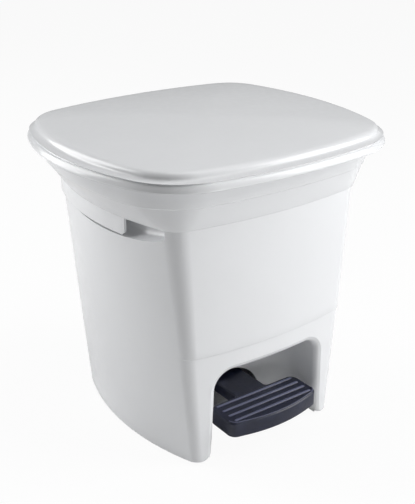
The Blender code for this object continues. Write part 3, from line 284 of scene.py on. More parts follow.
class Finishes(bpy.types.PropertyGroup):
    """Colours and gloss."""
    white: colour("White plastic", "Colour of the casing, lid and bucket", (0.80, 0.81, 0.825))
    white_inside: colour("Inner plastic", "Colour of the bucket and inner parts", (0.78, 0.79, 0.80))
    navy: colour("Pedal plastic", "Colour of the pedal", (0.0125, 0.0150, 0.034))
    # Painted highlight: a lighter colour put on the pedal's rib crests and on the top of the front bead, standing in
    # for the light they catch.
    navy_crest_highlight: colour("Pedal crest highlight", "Lighter colour painted on the ribs' crests as a highlight", (0.16, 0.17, 0.27))
    steel: colour("Steel", "Colour of wire, pins and screws", (0.60, 0.61, 0.63))
    rubber: colour("Rubber", "Colour of the feet", (0.028, 0.028, 0.030))
    gloss: share("White roughness", "Roughness of the glossy plastic", 0.20)
    navy_gloss: share("Pedal roughness", "Roughness of the pedal", 0.36)


class StageLook(bpy.types.PropertyGroup):
    """Camera and light."""
    left_power: FloatProperty(name="Left softbox", description="Power of the left softbox",
                              default=25.5, unit="POWER")
    front_power: FloatProperty(name="Front softbox", description="Power of the front softbox",
                               default=26.5, unit="POWER")
    top_power: FloatProperty(name="Overhead softbox", description="Power of the overhead softbox",
                             default=2.2, unit="POWER")
    fill_power: FloatProperty(name="Low fill", description="Power of the low fill in front of the niche",
                              default=0.6, unit="POWER")
    ambient: FloatProperty(name="Ambient", description="Strength of the even light", default=0.08)
    lens: FloatProperty(name="Lens", description="Focal length in millimetres", default=66.13)
    floor_white: share("Floor white", "How much of the floor shows as plain white", 0.94)


class BinSettings(bpy.types.PropertyGroup):
    """Everything that can be changed on the pedal bin."""
    casing: PointerProperty(type=CasingSizes)
    hinge: PointerProperty(type=HingeSizes)
    lid: PointerProperty(type=LidSizes)
    pedal: PointerProperty(type=PedalSizes)
    rod: PointerProperty(type=RodSizes)
    bucket: PointerProperty(type=BucketSizes)
    fixings: PointerProperty(type=FixingSizes)
    finishes: PointerProperty(type=Finishes)
    stage: PointerProperty(type=StageLook)


# Meshes


def arc(centre, radius, start, end, steps):
    """Points along a circle arc, both ends included."""
    turns = [start + (end - start) * i / steps for i in range(steps + 1)]
    return [(centre[0] + radius * math.cos(t), centre[1] + radius * math.sin(t)) for t in turns]


def grow(outline, amount):
    """The outline moved outwards by one distance all round."""
    return Outline(*(value + amount for value in outline))


def blend(low, high, part):
    """An outline between two others."""
    return Outline(*(a + (b - a) * part for a, b in zip(low, high)))


def quadrant(outline, half_depth):
    """Points from the middle of one end (0, depth) round to the middle of the side (width, 0)."""
    end_centre = Vector((0, half_depth - outline.end_arc))
    side_centre = Vector((outline.half_width - outline.side_arc, 0))
    to_end = outline.end_arc - outline.corner
    to_side = outline.side_arc - outline.corner
    between = side_centre - end_centre
    along = (to_end ** 2 - to_side ** 2 + between.length_squared) / (2 * between.length)
    across = math.sqrt(to_end ** 2 - along ** 2)
    direction = between.normalized()
    square = Vector((-direction.y, direction.x))
    centre = end_centre + direction * along + square * across
    if centre.x < 0:
        centre = end_centre + direction * along - square * across
    first = centre - end_centre
    last = centre - side_centre
    end_turn = math.atan2(first.y, first.x)
    side_turn = math.atan2(last.y, last.x)
    points = arc(end_centre, outline.end_arc, QUARTER, end_turn, END_STEPS)[:-1]
    points += arc(centre, outline.corner, end_turn, side_turn, CORNER_STEPS)[:-1]
    points += arc(side_centre, outline.side_arc, side_turn, 0, SIDE_STEPS)
    return points


def ring(outline, z):
    """The whole outline at one height, round from the middle of the front."""
    front = quadrant(outline, outline.front)
    back = quadrant(outline, outline.back)
    points = [Vector((x, -y, z)) for x, y in front]
    points += [Vector((x, y, z)) for x, y in back[-2::-1]]
    points += [Vector((-x, y, z)) for x, y in back[1:]]
    points += [Vector((-x, -y, z)) for x, y in front[-2:0:-1]]
    return points


def mesh_object(name, bm):
    """Link a bmesh as an object with its faces out."""
    bmesh.ops.recalc_face_normals(bm, faces=bm.faces)
    mesh = bpy.data.meshes.new(name)
    bm.to_mesh(mesh)
    bm.free()
    item = bpy.data.objects.new(name, mesh)
    bpy.context.scene.collection.objects.link(item)
    return item


def loft(name, rings, close=False):
    """Skin rings of equal count; cap both ends, or join last to first when close is set."""
    bm = bmesh.new()
    loops = [[bm.verts.new(point) for point in points] for points in rings]
    total = len(loops[0])
    pairs = list(zip(loops, loops[1:]))
    if close:
        pairs.append((loops[-1], loops[0]))
    for low, high in pairs:
        for i in range(total):
            j = (i + 1) % total
            bm.faces.new((low[i], low[j], high[j], high[i]))
    if not close:
        bm.faces.new(loops[0])
        bm.faces.new(loops[-1])
    return mesh_object(name, bm)


def prism(name, points, axis, low, high):
    """Extrude an outline of two coordinates along X, Y or Z."""
    place = {
        "x": lambda p, q, s: Vector((s, p, q)),
        "y": lambda p, q, s: Vector((p, s, q)),
        "z": lambda p, q, s: Vector((p, q, s)),
    }[axis]
    return loft(name, [[place(p, q, side) for p, q in points] for side in (low, high)])


def turned(name, centre, axis, profile, steps=ROUND_STEPS):
    """A solid of revolution: profile holds (distance along the axis, radius) pairs."""
    rings = []
    for along, radius in profile:
        points = arc((0, 0), radius, 0, 2 * HALF_TURN, steps)[:-1]
        if axis == "x":
            rings.append([centre + Vector((along, u, v)) for u, v in points])
        else:
            rings.append([centre + Vector((u, v, along)) for u, v in points])
    return loft(name, rings)


def bore(name, x_low, x_high, y, z, radius):
    """A round cutter along X."""
    points = arc((y, z), radius, 0, 2 * HALF_TURN, ROUND_STEPS)[:-1]
    return prism(name, points, "x", x_low, x_high)


def curve_through(points, steps):
    """A smooth run of points through the given ones."""
    run = []
    for i in range(len(points) - 1):
        before = points[max(i - 1, 0)]
        start, end = points[i], points[i + 1]
        after = points[min(i + 2, len(points) - 1)]
        for k in range(steps):
            t = k / steps
            run.append(tuple(
                0.5 * (2 * b + (c - a) * t + (2 * a - 5 * b + 4 * c - d) * t ** 2
                       + (3 * b - a - 3 * c + d) * t ** 3)
                for a, b, c, d in zip(before, start, end, after)))
    run.append(tuple(points[-1]))
    return run


def bake(item):
    """Turn what the modifiers make into the object's own mesh."""
    depsgraph = bpy.context.evaluated_depsgraph_get()
    depsgraph.update()
    mesh = bpy.data.meshes.new_from_object(item.evaluated_get(depsgraph))
    item.modifiers.clear()
    old = item.data
    item.data = mesh
    if old.users == 0 and isinstance(old, bpy.types.Mesh):
        bpy.data.meshes.remove(old)
    return item


def discard(*items):
    for item in items:
        bpy.data.objects.remove(item, do_unlink=True)


def solve(item, operation, tools):
    """Cut tools out of a piece, or fuse them to it, and keep the result as its mesh."""
    for tool in tools:
        step = item.modifiers.new(tool.name, "BOOLEAN")
        step.operation = operation
        step.solver = "EXACT"
        step.object = tool
    bake(item)
    discard(*tools)
    return item


def cut(item, *tools):
    return solve(item, "DIFFERENCE", tools)


def fuse(item, *tools):
    return solve(item, "UNION", tools)


def finish_piece(item, surface, sharp=35.0):
    """Smooth shading with the sharp edges kept, and one material."""
    mesh = item.data
    mesh.materials.clear()
    mesh.materials.append(surface)
    mesh.polygons.foreach_set("material_index", [0] * len(mesh.polygons))
    mesh.shade_smooth()
    mesh.set_sharp_from_angle(angle=math.radians(sharp))
    return item


def put(item, body, slot, *nodes):
    """Hang the piece on its body and hide the frame's nodes that it stands for. The slot is not used."""
    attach(item, body)
    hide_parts(*nodes)


# Geometry node trees


def new_tree(name, sockets):
    """A geometry tree with its inputs and its geometry output."""
    tree = bpy.data.node_groups.new(name, "GeometryNodeTree")
    tree.interface.new_socket("Geometry", in_out="INPUT", socket_type="NodeSocketGeometry")
    for label, kind, value in sockets:
        socket = tree.interface.new_socket(label, in_out="INPUT", socket_type=kind)
        if value is not None:
            socket.default_value = value
    tree.interface.new_socket("Geometry", in_out="OUTPUT", socket_type="NodeSocketGeometry")
    return tree, tree.nodes.new("NodeGroupInput"), tree.nodes.new("NodeGroupOutput")


def close_tree(tree, enter, leave, last):
    """End a tree in realized instances with the piece's material."""
    realize = tree.nodes.new("GeometryNodeRealizeInstances")
    paint = tree.nodes.new("GeometryNodeSetMaterial")
    tree.links.new(last, realize.inputs["Geometry"])
    tree.links.new(realize.outputs["Geometry"], paint.inputs["Geometry"])
    tree.links.new(enter.outputs["Material"], paint.inputs["Material"])
    tree.links.new(paint.outputs["Geometry"], leave.inputs["Geometry"])


def repeat_tree():
    """Puts one shape on every point of the object's own mesh."""
    tree, enter, leave = new_tree("repeat_on_points", [
        ("Shape", "NodeSocketObject", None), ("Material", "NodeSocketMaterial", None)])
    shape = tree.nodes.new("GeometryNodeObjectInfo")
    place = tree.nodes.new("GeometryNodeInstanceOnPoints")
    tree.links.new(enter.outputs["Shape"], shape.inputs["Object"])
    tree.links.new(enter.outputs["Geometry"], place.inputs["Points"])
    tree.links.new(shape.outputs["Geometry"], place.inputs["Instance"])
    close_tree(tree, enter, leave, place.outputs["Instances"])
    return tree


def wire_tree():
    """Makes a bent round wire along the object's own chain of edges."""
    tree, enter, leave = new_tree("bent_wire", [
        ("Wire radius", "NodeSocketFloat", 0.002), ("Bend radius", "NodeSocketFloat", 0.003),
        ("Bend steps", "NodeSocketInt", 10), ("Sides", "NodeSocketInt", 20),
        ("Material", "NodeSocketMaterial", None)])
    path = tree.nodes.new("GeometryNodeMeshToCurve")
    bend = tree.nodes.new("GeometryNodeFilletCurve")
    circle = tree.nodes.new("GeometryNodeCurvePrimitiveCircle")
    sweep = tree.nodes.new("GeometryNodeCurveToMesh")
    bend.mode = "POLY"
    sweep.inputs["Fill Caps"].default_value = True
    tree.links.new(enter.outputs["Geometry"], path.inputs["Mesh"])
    tree.links.new(path.outputs["Curve"], bend.inputs["Curve"])
    tree.links.new(enter.outputs["Bend radius"], bend.inputs["Radius"])
    tree.links.new(enter.outputs["Bend steps"], bend.inputs["Count"])
    tree.links.new(enter.outputs["Sides"], circle.inputs["Resolution"])
    tree.links.new(enter.outputs["Wire radius"], circle.inputs["Radius"])
    tree.links.new(bend.outputs["Curve"], sweep.inputs["Curve"])
    tree.links.new(circle.outputs["Curve"], sweep.inputs["Profile Curve"])
    close_tree(tree, enter, leave, sweep.outputs["Mesh"])
    return tree


def grow_nodes(item, tree, **values):
    """Run a tree on an object and keep the result as a plain mesh."""
    step = item.modifiers.new(tree.name, "NODES")
    step.node_group = tree
    for socket in tree.interface.items_tree:
        label = socket.name.lower().replace(" ", "_")
        if socket.in_out == "INPUT" and label in values:
            step[socket.identifier] = values[label]
    return bake(item)


def points_object(name, places):
    mesh = bpy.data.meshes.new(name)
    mesh.from_pydata([tuple(place) for place in places], [], [])
    item = bpy.data.objects.new(name, mesh)
    bpy.context.scene.collection.objects.link(item)
    return item


def chain_object(name, places):
    mesh = bpy.data.meshes.new(name)
    mesh.from_pydata([tuple(place) for place in places], [(i, i + 1) for i in range(len(places) - 1)], [])
    item = bpy.data.objects.new(name, mesh)
    bpy.context.scene.collection.objects.link(item)
    return item


# Materials


class Shades:
    """Builds one procedural material at a time."""

    def __init__(self, name, roughness, metallic=0.0):
        self.material = bpy.data.materials.new(name)
        self.material.use_nodes = True
        self.tree = self.material.node_tree
        self.shader = self.tree.nodes["Principled BSDF"]
        self.shader.inputs["Roughness"].default_value = roughness
        self.shader.inputs["Metallic"].default_value = metallic
        self.place = self.tree.nodes.new("ShaderNodeTexCoord").outputs["Object"]

    def noise(self, scale, detail=3.0, stretch=None):
        node = self.tree.nodes.new("ShaderNodeTexNoise")
        node.inputs["Scale"].default_value = scale
        node.inputs["Detail"].default_value = detail
        source = self.place
        if stretch:
            mapping = self.tree.nodes.new("ShaderNodeMapping")
            mapping.inputs["Scale"].default_value = stretch
            self.tree.links.new(source, mapping.inputs["Vector"])
            source = mapping.outputs["Vector"]
        self.tree.links.new(source, node.inputs["Vector"])
        return node.outputs["Fac"]

    def spread(self, source, low, high, start=0.3, end=0.7):
        node = self.tree.nodes.new("ShaderNodeMapRange")
        node.inputs["From Min"].default_value = start
        node.inputs["From Max"].default_value = end
        node.inputs["To Min"].default_value = low
        node.inputs["To Max"].default_value = high
        self.tree.links.new(source, node.inputs["Value"])
        return node.outputs["Result"]

    def mix(self, factor, first, second):
        node = self.tree.nodes.new("ShaderNodeMix")
        node.data_type = "RGBA"
        self.tree.links.new(factor, node.inputs["Factor"])
        for socket, value in ((node.inputs["A"], first), (node.inputs["B"], second)):
            if isinstance(value, bpy.types.NodeSocket):
                self.tree.links.new(value, socket)
            else:
                socket.default_value = (*value, 1.0)
        return node.outputs["Result"]

    def height(self):
        """Object-space height."""
        node = self.tree.nodes.new("ShaderNodeSeparateXYZ")
        self.tree.links.new(self.place, node.inputs["Vector"])
        return node.outputs["Z"]

    def into(self, socket, source):
        self.tree.links.new(source, self.shader.inputs[socket])

    def bump(self, source, depth, strength, below=None):
        node = self.tree.nodes.new("ShaderNodeBump")
        node.inputs["Strength"].default_value = strength
        node.inputs["Distance"].default_value = depth
        self.tree.links.new(source, node.inputs["Height"])
        if below:
            self.tree.links.new(below, node.inputs["Normal"])
        return node.outputs["Normal"]


def tinted(colour_value, amount):
    return tuple(min(1.0, part * amount) for part in colour_value)


def moulded_white(name, base, gloss, ripple=0.25, grain=0.04):
    """Glossy moulded plastic: faint clouding, slow ripple of the skin and a very fine grain."""
    make = Shades(name, gloss)
    cloud = make.spread(make.noise(9.0, 4.0), 0.0, 1.0)
    make.into("Base Color", make.mix(cloud, tinted(base, 0.985), tinted(base, 1.012)))
    make.into("Roughness", make.spread(make.noise(160.0, 4.0), gloss * 0.88, gloss * 1.16))
    slow = make.bump(make.noise(26.0, 1.5), 0.0006, ripple)
    make.into("Normal", make.bump(make.noise(2600.0, 2.0), 0.00005, grain, slow))
    make.shader.inputs["IOR"].default_value = 1.49
    return make.material


def moulded_navy(name, settings, top, crest):
    """Dark pedal plastic: fine leather-like grain, with a lighter highlight painted on the ribs' crests and the front
    bead's top.
    """
    base, highlight_colour, gloss = settings.navy, settings.navy_crest_highlight, settings.navy_gloss
    make = Shades(name, gloss)
    cloud = make.spread(make.noise(70.0, 5.0), 0.0, 1.0)
    ground = make.mix(cloud, tinted(base, 0.8), tinted(base, 1.3))
    # Painted highlight: the colour turns lighter with height, between the crest's lower and upper levels, so only the
    # ribs' crests and the bead's top are lightened.
    painted_highlight_mask = make.spread(make.height(), 0.0, 1.0, top, crest)
    make.into("Base Color", make.mix(painted_highlight_mask, ground, highlight_colour))
    make.into("Roughness", make.spread(make.noise(240.0, 4.0), gloss * 0.8, gloss * 1.2))
    pits = make.tree.nodes.new("ShaderNodeTexVoronoi")
    pits.inputs["Scale"].default_value = 900.0
    make.tree.links.new(make.place, pits.inputs["Vector"])
    make.into("Normal", make.bump(pits.outputs["Distance"], 0.00018, 0.35))
    return make.material


def drawn_steel(name, base, roughness, along):
    """Drawn steel wire: fine marks along its length."""
    make = Shades(name, roughness, 1.0)
    stretch = [1.0 if axis == along else 14.0 for axis in "xyz"]
    marks = make.noise(260.0, 5.0, stretch)
    make.into("Base Color", make.mix(make.spread(marks, 0.0, 1.0), tinted(base, 0.86), tinted(base, 1.06)))
    make.into("Roughness", make.spread(make.noise(420.0, 3.0, stretch), roughness * 0.8, roughness * 1.3))
    make.into("Normal", make.bump(marks, 0.00004, 0.35))
    return make.material


def matt_rubber(name, base):
    make = Shades(name, 0.8)
    make.into("Base Color", make.mix(make.spread(make.noise(140.0), 0.0, 1.0), base, tinted(base, 1.7)))
    make.into("Roughness", make.spread(make.noise(300.0), 0.7, 0.9))
    make.into("Normal", make.bump(make.noise(1500.0), 0.0001, 0.5))
    return make.material


# Casing


def read_outline(values):
    return Outline(*values)


def casing_levels(p):
    return [
        (p.foot_z, read_outline(p.base)), (p.belly_z, read_outline(p.belly)),
        (p.band_two_z, read_outline(p.band_two)), (p.band_one_z, read_outline(p.band_one)),
        (p.rim_z, read_outline(p.rim)),
    ]


def casing_outline(p, z, inset=0.0):
    """Outline of the casing's wall at one height, without its steps."""
    levels = casing_levels(p)
    for (low_z, low), (high_z, high) in zip(levels, levels[1:]):
        if z <= high_z:
            break
    return grow(blend(low, high, (z - low_z) / (high_z - low_z)), -inset)


def casing_skin(p, z):
    """Outline of the casing's skin at one height, with the moulded steps."""
    outline = casing_outline(p, z)
    bands = ((p.band_two_z, p.band_one_z), (p.band_one_z, p.rim_z))
    for start, end in bands:
        if start <= z <= end:
            outline = grow(outline, p.band_step * step_share(p, z - start) * (1 - (z - start) / (end - start)))
    if p.belly_z <= z <= p.band_two_z:
        fade = 1 - (z - p.belly_z) / (p.band_two_z - p.belly_z)
        outline = outline._replace(front=outline.front + p.belly_step * step_share(p, z - p.belly_z) * fade)
    return outline


def step_share(p, rise):
    """How much of a step stands out at a height above its start."""
    t = min(max(rise / p.step_rise, 0.0), 1.0)
    return math.sin(t * QUARTER) ** 1.2


def wall_back_y(p, x, z, inset=None):
    outline = casing_outline(p, z, p.wall if inset is None else inset)
    return outline.back - outline.end_arc + math.sqrt(outline.end_arc ** 2 - x ** 2)


def wall_side_x(p, y, z, inset=None):
    outline = casing_outline(p, z, p.wall if inset is None else inset)
    return outline.half_width - outline.side_arc + math.sqrt(outline.side_arc ** 2 - y ** 2)


def front_y(p, x, z):
    outline = casing_outline(p, z)
    return -(outline.front - outline.end_arc + math.sqrt(outline.end_arc ** 2 - x ** 2))


def casing_rows(p):
    """The outside of the casing, row by row, with rounded edges and steps."""
    rows = []
    for i in range(5):
        turn = QUARTER * i / 4
        z = p.foot_z + p.edge_round * (1 - math.cos(turn))
        rows.append((z, grow(casing_outline(p, z), -p.edge_round * (1 - math.sin(turn)))))
    marks = [p.foot_z + p.edge_round, p.belly_z, p.band_two_z, p.band_one_z, p.rim_z - p.edge_round]
    for start, end in zip(marks, marks[1:]):
        steps = max(2, round((end - start - p.step_rise) / (7 * mm)))
        if start > p.foot_z + p.edge_round:
            for part in (0.0, 0.08, 0.2, 0.36, 0.55, 0.77, 1.0):
                z = start + p.step_rise * part
                rows.append((z, casing_skin(p, z)))
        for k in range(1, steps):
            z = start + p.step_rise + (end - start - p.step_rise) * k / steps
            rows.append((z, casing_skin(p, z)))
        if end < p.rim_z - p.edge_round:
            z = end - 0.5 * mm
            rows.append((z, casing_skin(p, z)))
    for i in range(5):
        turn = QUARTER * i / 4
        z = p.rim_z - p.edge_round * (1 - math.sin(turn))
        rows.append((z, grow(casing_outline(p, z), -p.edge_round * (1 - math.cos(turn)))))
    return [ring(outline, z) for z, outline in rows]


def core_rows(p):
    """The hollow of the casing, open at the foot and at the rim."""
    over = 4 * mm
    rows = [(p.foot_z - over, grow(read_outline(p.base), -p.wall))]
    for z, _ in casing_levels(p):
        rows.append((z, casing_outline(p, z, p.wall)))
    rows.append((p.rim_z + over, grow(read_outline(p.rim), -p.wall)))
    return [ring(outline, z) for z, outline in rows]


def niche_half(p, z):
    """Half width of the niche's straight jamb at one height."""
    return p.niche_half_width - p.niche_taper * max(z, 0) / p.niche_top_z


def niche_shape(p, name, offset, low_z, steps=14):
    """The foot niche, grown by an offset: a room with rounded back corners and roof edge."""
    mouth_y = -p.rim[1] - 4 * mm
    straight_top = p.niche_top_z - p.niche_top_radius
    levels = [(low_z, 0.0), (straight_top, 0.0)]
    for up, inset in arc((0, 0), p.niche_top_radius, 0, QUARTER, steps)[1:]:
        levels.append((straight_top + inset, p.niche_top_radius - up))
    rings = []
    for z, inset in levels:
        half = niche_half(p, z) - inset + offset
        back = p.niche_back_y - inset + offset
        corner = p.niche_corner + offset - inset / 2
        rise = offset if z > low_z else 0.0
        points = [(-half, mouth_y)]
        points += arc((-half + corner, back - corner), corner, HALF_TURN, QUARTER, steps)
        points += arc((half - corner, back - corner), corner, QUARTER, 0, steps)
        points.append((half, mouth_y))
        rings.append([Vector((x, y, z + rise)) for x, y in points])
    return loft(name, rings)


def niche_profile(p, offset, low_z):
    """The niche's opening seen from the front, as (x, z) points from left to right."""
    radius = p.niche_top_radius
    straight_top = p.niche_top_z - radius
    right = [(niche_half(p, p.foot_z) + offset + p.leg_round, low_z)]
    for x, z in arc((0, 0), p.leg_round, 0, QUARTER, 8):
        right.append((niche_half(p, p.foot_z) + offset + p.leg_round - z, p.foot_z + p.leg_round - x))
    right += [(niche_half(p, z) + offset, z) for z in (straight_top / 3, 2 * straight_top / 3)]
    centre_x = niche_half(p, p.niche_top_z) - radius
    for x, z in arc((centre_x, straight_top), radius + offset, 0, QUARTER, 16):
        lean = niche_half(p, min(z, p.niche_top_z)) - niche_half(p, p.niche_top_z)
        right.append((x + lean, z))
    middle = [(centre_x * (1 - 2 * i / 12), p.niche_top_z + offset) for i in range(1, 12)]
    return [(-x, z) for x, z in right] + [(-x, z) for x, z in middle] + right[::-1]


def niche_mouth(p):
    """Cutter that rounds the niche's front edge."""
    radius = p.niche_mouth
    low_z = p.foot_z - 8 * mm
    rows = [(4 * mm, radius + 4 * mm)]
    for i in range(7):
        turn = math.radians(80) * (1 - i / 6)
        rows.append((-radius * (1 - math.sin(turn)), radius * (1 - math.cos(turn))))
    rows.append((-radius - 2 * mm, -0.25 * mm))
    rings = []
    for depth, offset in rows:
        profile = niche_profile(p, offset, low_z)
        rings.append([Vector((x, front_y(p, x, max(z, p.foot_z)) - depth, z)) for x, z in profile])
    outer = [Vector((v.x, -p.rim[1] - 4 * mm, v.z)) for v in rings[0]]
    inner = [Vector((v.x * 0.98, front_y(p, 0, p.niche_top_z) + 24 * mm, v.z - 0.5 * mm)) for v in rings[-1]]
    return loft("niche_mouth", [outer, *rings, inner])


def grip_pocket(p, name, side, offset, steps=40):
    """The finger room under the band on one side, grown by an offset."""
    rings = []
    top = p.band_two_z + 0.25 * mm + offset
    for i in range(steps + 1):
        turn = HALF_TURN * i / steps
        y = -(p.grip_half_length + offset) * math.cos(turn)
        depth = (p.grip_depth + offset) * math.sin(turn) ** 0.5 if 0 < i < steps else 0.0
        outer = p.band_one[0]
        inner = wall_side_x(p, min(abs(y), p.grip_half_length), p.band_two_z, 0.0) - depth
        height = (p.grip_height + offset) * (0.35 + 0.65 * math.sin(turn)) + offset
        low, knee = top - height, top - 0.3 * height
        slope = [(inner, knee), (inner + 0.14 * depth, knee - 0.36 * height), (inner + 0.48 * depth, low + 0.12 * height),
                 (inner + depth, low)]
        points = [(outer, top), (inner, top), *curve_through(slope, 4)]
        points.append((outer, low - 0.35 * (outer - inner - depth)))
        rings.append([Vector((side * x, y, z)) for x, z in points])
    return loft(name, rings)


def grip_lip(p, name, side, steps=32):
    """The lip that hangs from the band in front of the finger room, its ends rounded."""
    rings = []
    round_y = 3.0 * mm
    for i in range(steps + 1):
        y = -p.lip_front + (p.lip_front + p.lip_back) * i / steps
        out = wall_side_x(p, y, p.band_two_z, 0.0) + p.band_step
        near = max(0.0, 1 - min(y + p.lip_front, p.lip_back - y) / round_y)
        low = p.band_two_z - p.lip_drop + round_y * (1 - math.sqrt(max(0.0, 1 - near ** 2)))
        high = p.band_two_z + p.lip_thickness
        edge = p.lip_thickness / 2
        inside = out - p.lip_thickness
        points = [(out, high), (inside, high)]
        points += [(inside + edge - u, low + edge - v) for u, v in arc((0, 0), edge, 0, HALF_TURN, 8)]
        rings.append([Vector((side * x, y, z)) for x, z in points])
    return loft(name, rings)


def hinge_ears(p, h):
    """Two pairs of ears on the rear wall."""
    ears = []
    for side in (-1, 1):
        for edge in (-1, 1):
            near = h.knuckle_width / 2 + h.gap
            x_low, x_high = sorted(side * h.axis_x + edge * (near + reach) for reach in (0.0, p.ear_thickness))
            low_z = h.axis_z - p.ear_depth
            wall = wall_back_y(p, h.axis_x, low_z)
            points = arc((h.axis_y, h.axis_z), h.knuckle_radius, 0, HALF_TURN, 20)
            points.append((h.axis_y - h.knuckle_radius, h.axis_z - p.ear_depth / 2))
            points.append((wall + 0.4 * mm, low_z))
            points.append((wall_back_y(p, h.axis_x, h.axis_z - p.ear_depth / 2) + 1.6 * mm,
                           h.axis_z - p.ear_depth / 2))
            ears.append(prism(f"ear_{side}_{edge}", points, "x", x_low, x_high))
    return ears


def hinge_notch(p, h, side):
    """The gap in the rear wall that the knuckle, the ears and the pin's ends stand in."""
    spare = 1.2 * mm
    over = 4 * mm
    half = h.knuckle_width / 2 + p.ear_thickness + 2 * h.gap + h.pin_head + spare
    low = h.axis_z - h.knuckle_radius - spare
    front = h.axis_y - h.knuckle_radius - over
    back = p.rim[2] + over
    points = [(front, low), (back, low), (back, p.rim_z + over), (front, p.rim_z + over)]
    return prism(f"hinge_notch_{side}", points, "x", side * h.axis_x - half, side * h.axis_x + half)


def screw_places():
    """Base screws: the middle of each screw node of the frame."""
    names = ("base_screw_right", "base_screw_left", "base_screw_back_right", "base_screw_back_left")
    return [node_middle(name) for name in names]


def node_middle(name):
    low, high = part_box(name)
    return Vector(((low.x + high.x) / 2, (low.y + high.y) / 2, low.z))


def bucket_ribs(p, bucket):
    """Gussets on the rear and side walls that carry the bucket's floor."""
    top = p.niche_top_z + p.niche_wall
    low = top - p.rib_height
    bite = 0.8 * mm
    rear = [(bucket.floor[2] - p.rib_bearing, top), (wall_back_y(p, p.rear_rib_x, top) + bite, top),
            (wall_back_y(p, p.rear_rib_x, low) + bite, low)]
    wide = [(bucket.floor[0] - p.rib_bearing, top), (wall_side_x(p, p.side_rib_y, top) + bite, top),
            (wall_side_x(p, p.side_rib_y, low) + bite, low)]
    half = p.rib_thickness / 2
    ribs = []
    for side in (-1, 1):
        across = side * p.rear_rib_x
        ribs.append(prism(f"rear_rib_{side}", rear, "x", across - half, across + half))
        ribs.append(prism(f"side_rib_{side}", [(side * x, z) for x, z in wide], "y",
                          p.side_rib_y - half, p.side_rib_y + half))
    return ribs


class BIN_OT_casing(bpy.types.Operator):
    """Build the outer casing with its niche, bands, finger grips, ears, bosses and ribs"""
    bl_idname = "pedal_bin.casing"
    bl_label = "Outer casing"

    def execute(self, context):
        settings = context.scene.pedal_bin
        p, h, f = settings.casing, settings.hinge, settings.fixings
        below = p.foot_z - 8 * mm
        casing = loft("bin_casing", casing_rows(p))
        core = loft("casing_core", core_rows(p))
        cut(core, niche_shape(p, "niche_block", p.niche_wall, below),
            *(grip_pocket(p, f"grip_block_{side}", side, p.lip_thickness) for side in (-1, 1)))
        arch = arc((0, p.arch_z), p.arch_radius, 0, HALF_TURN, 40)
        arch = [(p.arch_radius, -4 * mm), *arch, (-p.arch_radius, -4 * mm)]
        depth = 4 * mm
        cut(casing, core, niche_shape(p, "niche_room", 0.0, below), niche_mouth(p),
            *(grip_pocket(p, f"grip_room_{side}", side, 0.0) for side in (-1, 1)),
            prism("arm_arch", arch, "y", p.niche_back_y - depth, p.niche_back_y + depth),
            *(hinge_notch(p, h, side) for side in (-1, 1)))
        plate_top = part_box("base_plate")[0].z + 3 * mm + h.gap
        bosses = []
        holes = []
        for i, place in enumerate(screw_places()):
            foot = Vector((place.x, place.y, plate_top))
            bosses.append(turned(f"boss_{i}", foot, "z", [(0, p.boss_radius), (p.boss_height, p.boss_radius)]))
            hole = f.shank_radius + h.clearance
            holes.append(turned(f"boss_hole_{i}", foot, "z", [(-depth, hole), (3 * depth, hole)]))
        lips = [grip_lip(p, f"lip_{side}", side) for side in (-1, 1)]
        fuse(casing, *lips, *hinge_ears(p, h), *bosses, *bucket_ribs(p, settings.bucket))
        reach = h.axis_x + h.knuckle_width + p.ear_thickness
        cut(casing, bore("ear_bore", -reach, reach, h.axis_y, h.axis_z, h.pin_radius + h.clearance), *holes)
        finish_piece(casing, finish(settings, "casing_plastic"))
        put(casing, "casing", "casing_plastic", "outer_casing")
        return {"FINISHED"}


# Lid


# The lid's flank: share of the way in to the flat top, share of the rise up to it
FLANK_SHARES = [(0.16, 0.0), (0.31, 0.07), (0.44, 0.18), (0.52, 0.33), (0.57, 0.56), (0.66, 0.78), (0.8, 0.93),
                (1.0, 1.0)]
# The flange: share of its lean, share of the height of its crease
FLANGE_SHARES = [(0.0, 0.17), (0.1, 0.36), (0.34, 0.6), (0.68, 0.8), (0.9, 0.9)]


def flange_rows(p):
    """The flange with its rounded edge and fine crease, as (inset, height above the edge) pairs."""
    crease, line, lean = p.crease, p.crease_z, p.flange_inset
    rows = [(crease * 1.3, 0.0), (crease * 0.55, crease * 0.12), (crease * 0.12, crease * 0.5)]
    rows += [(lean * inset, line * up) for inset, up in FLANGE_SHARES]
    rows += [(lean + crease * inset, line + crease * up)
             for inset, up in ((0.1, -0.6), (0.5, -0.35), (0.95, 0.0), (0.75, 0.35), (0.45, 0.75))]
    return rows


def flank_rows(p, drop):
    """The flank from the flange up to the flat top, at a depth below the outside."""
    low, high = read_outline(p.outline), read_outline(p.plateau)
    rise = p.plateau_z - p.flange_top
    reach = low.half_width - high.half_width
    run = curve_through(FLANK_SHARES, 5)
    rows = []
    for i, (way, up) in enumerate(run):
        before, after = run[max(i - 1, 0)], run[min(i + 1, len(run) - 1)]
        across, along = (after[0] - before[0]) * reach, (after[1] - before[1]) * rise
        length = math.hypot(across, along)
        outline = grow(blend(low, high, way), -drop * along / length)
        rows.append(ring(outline, p.edge_z + p.flange_top + rise * up - drop * across / length))
    return rows


def lid_outer_rows(p):
    outline = read_outline(p.outline)
    rows = [ring(grow(outline, -u), p.edge_z + v) for u, v in flange_rows(p)] + flank_rows(p, 0.0)
    return rows + dome_rows(p, rows[-1], p.dome_z)


def dome_rows(p, edge, top):
    """The dome from the plateau's edge to its middle."""
    edge_z = edge[0].z
    crown_z = p.edge_z + top
    rows = []
    for i in range(1, 17):
        part = 1 - i / 17
        z = edge_z + (crown_z - edge_z) * (1 - part ** 2)
        rows.append([Vector((v.x * part, v.y * part, z)) for v in edge])
    return rows


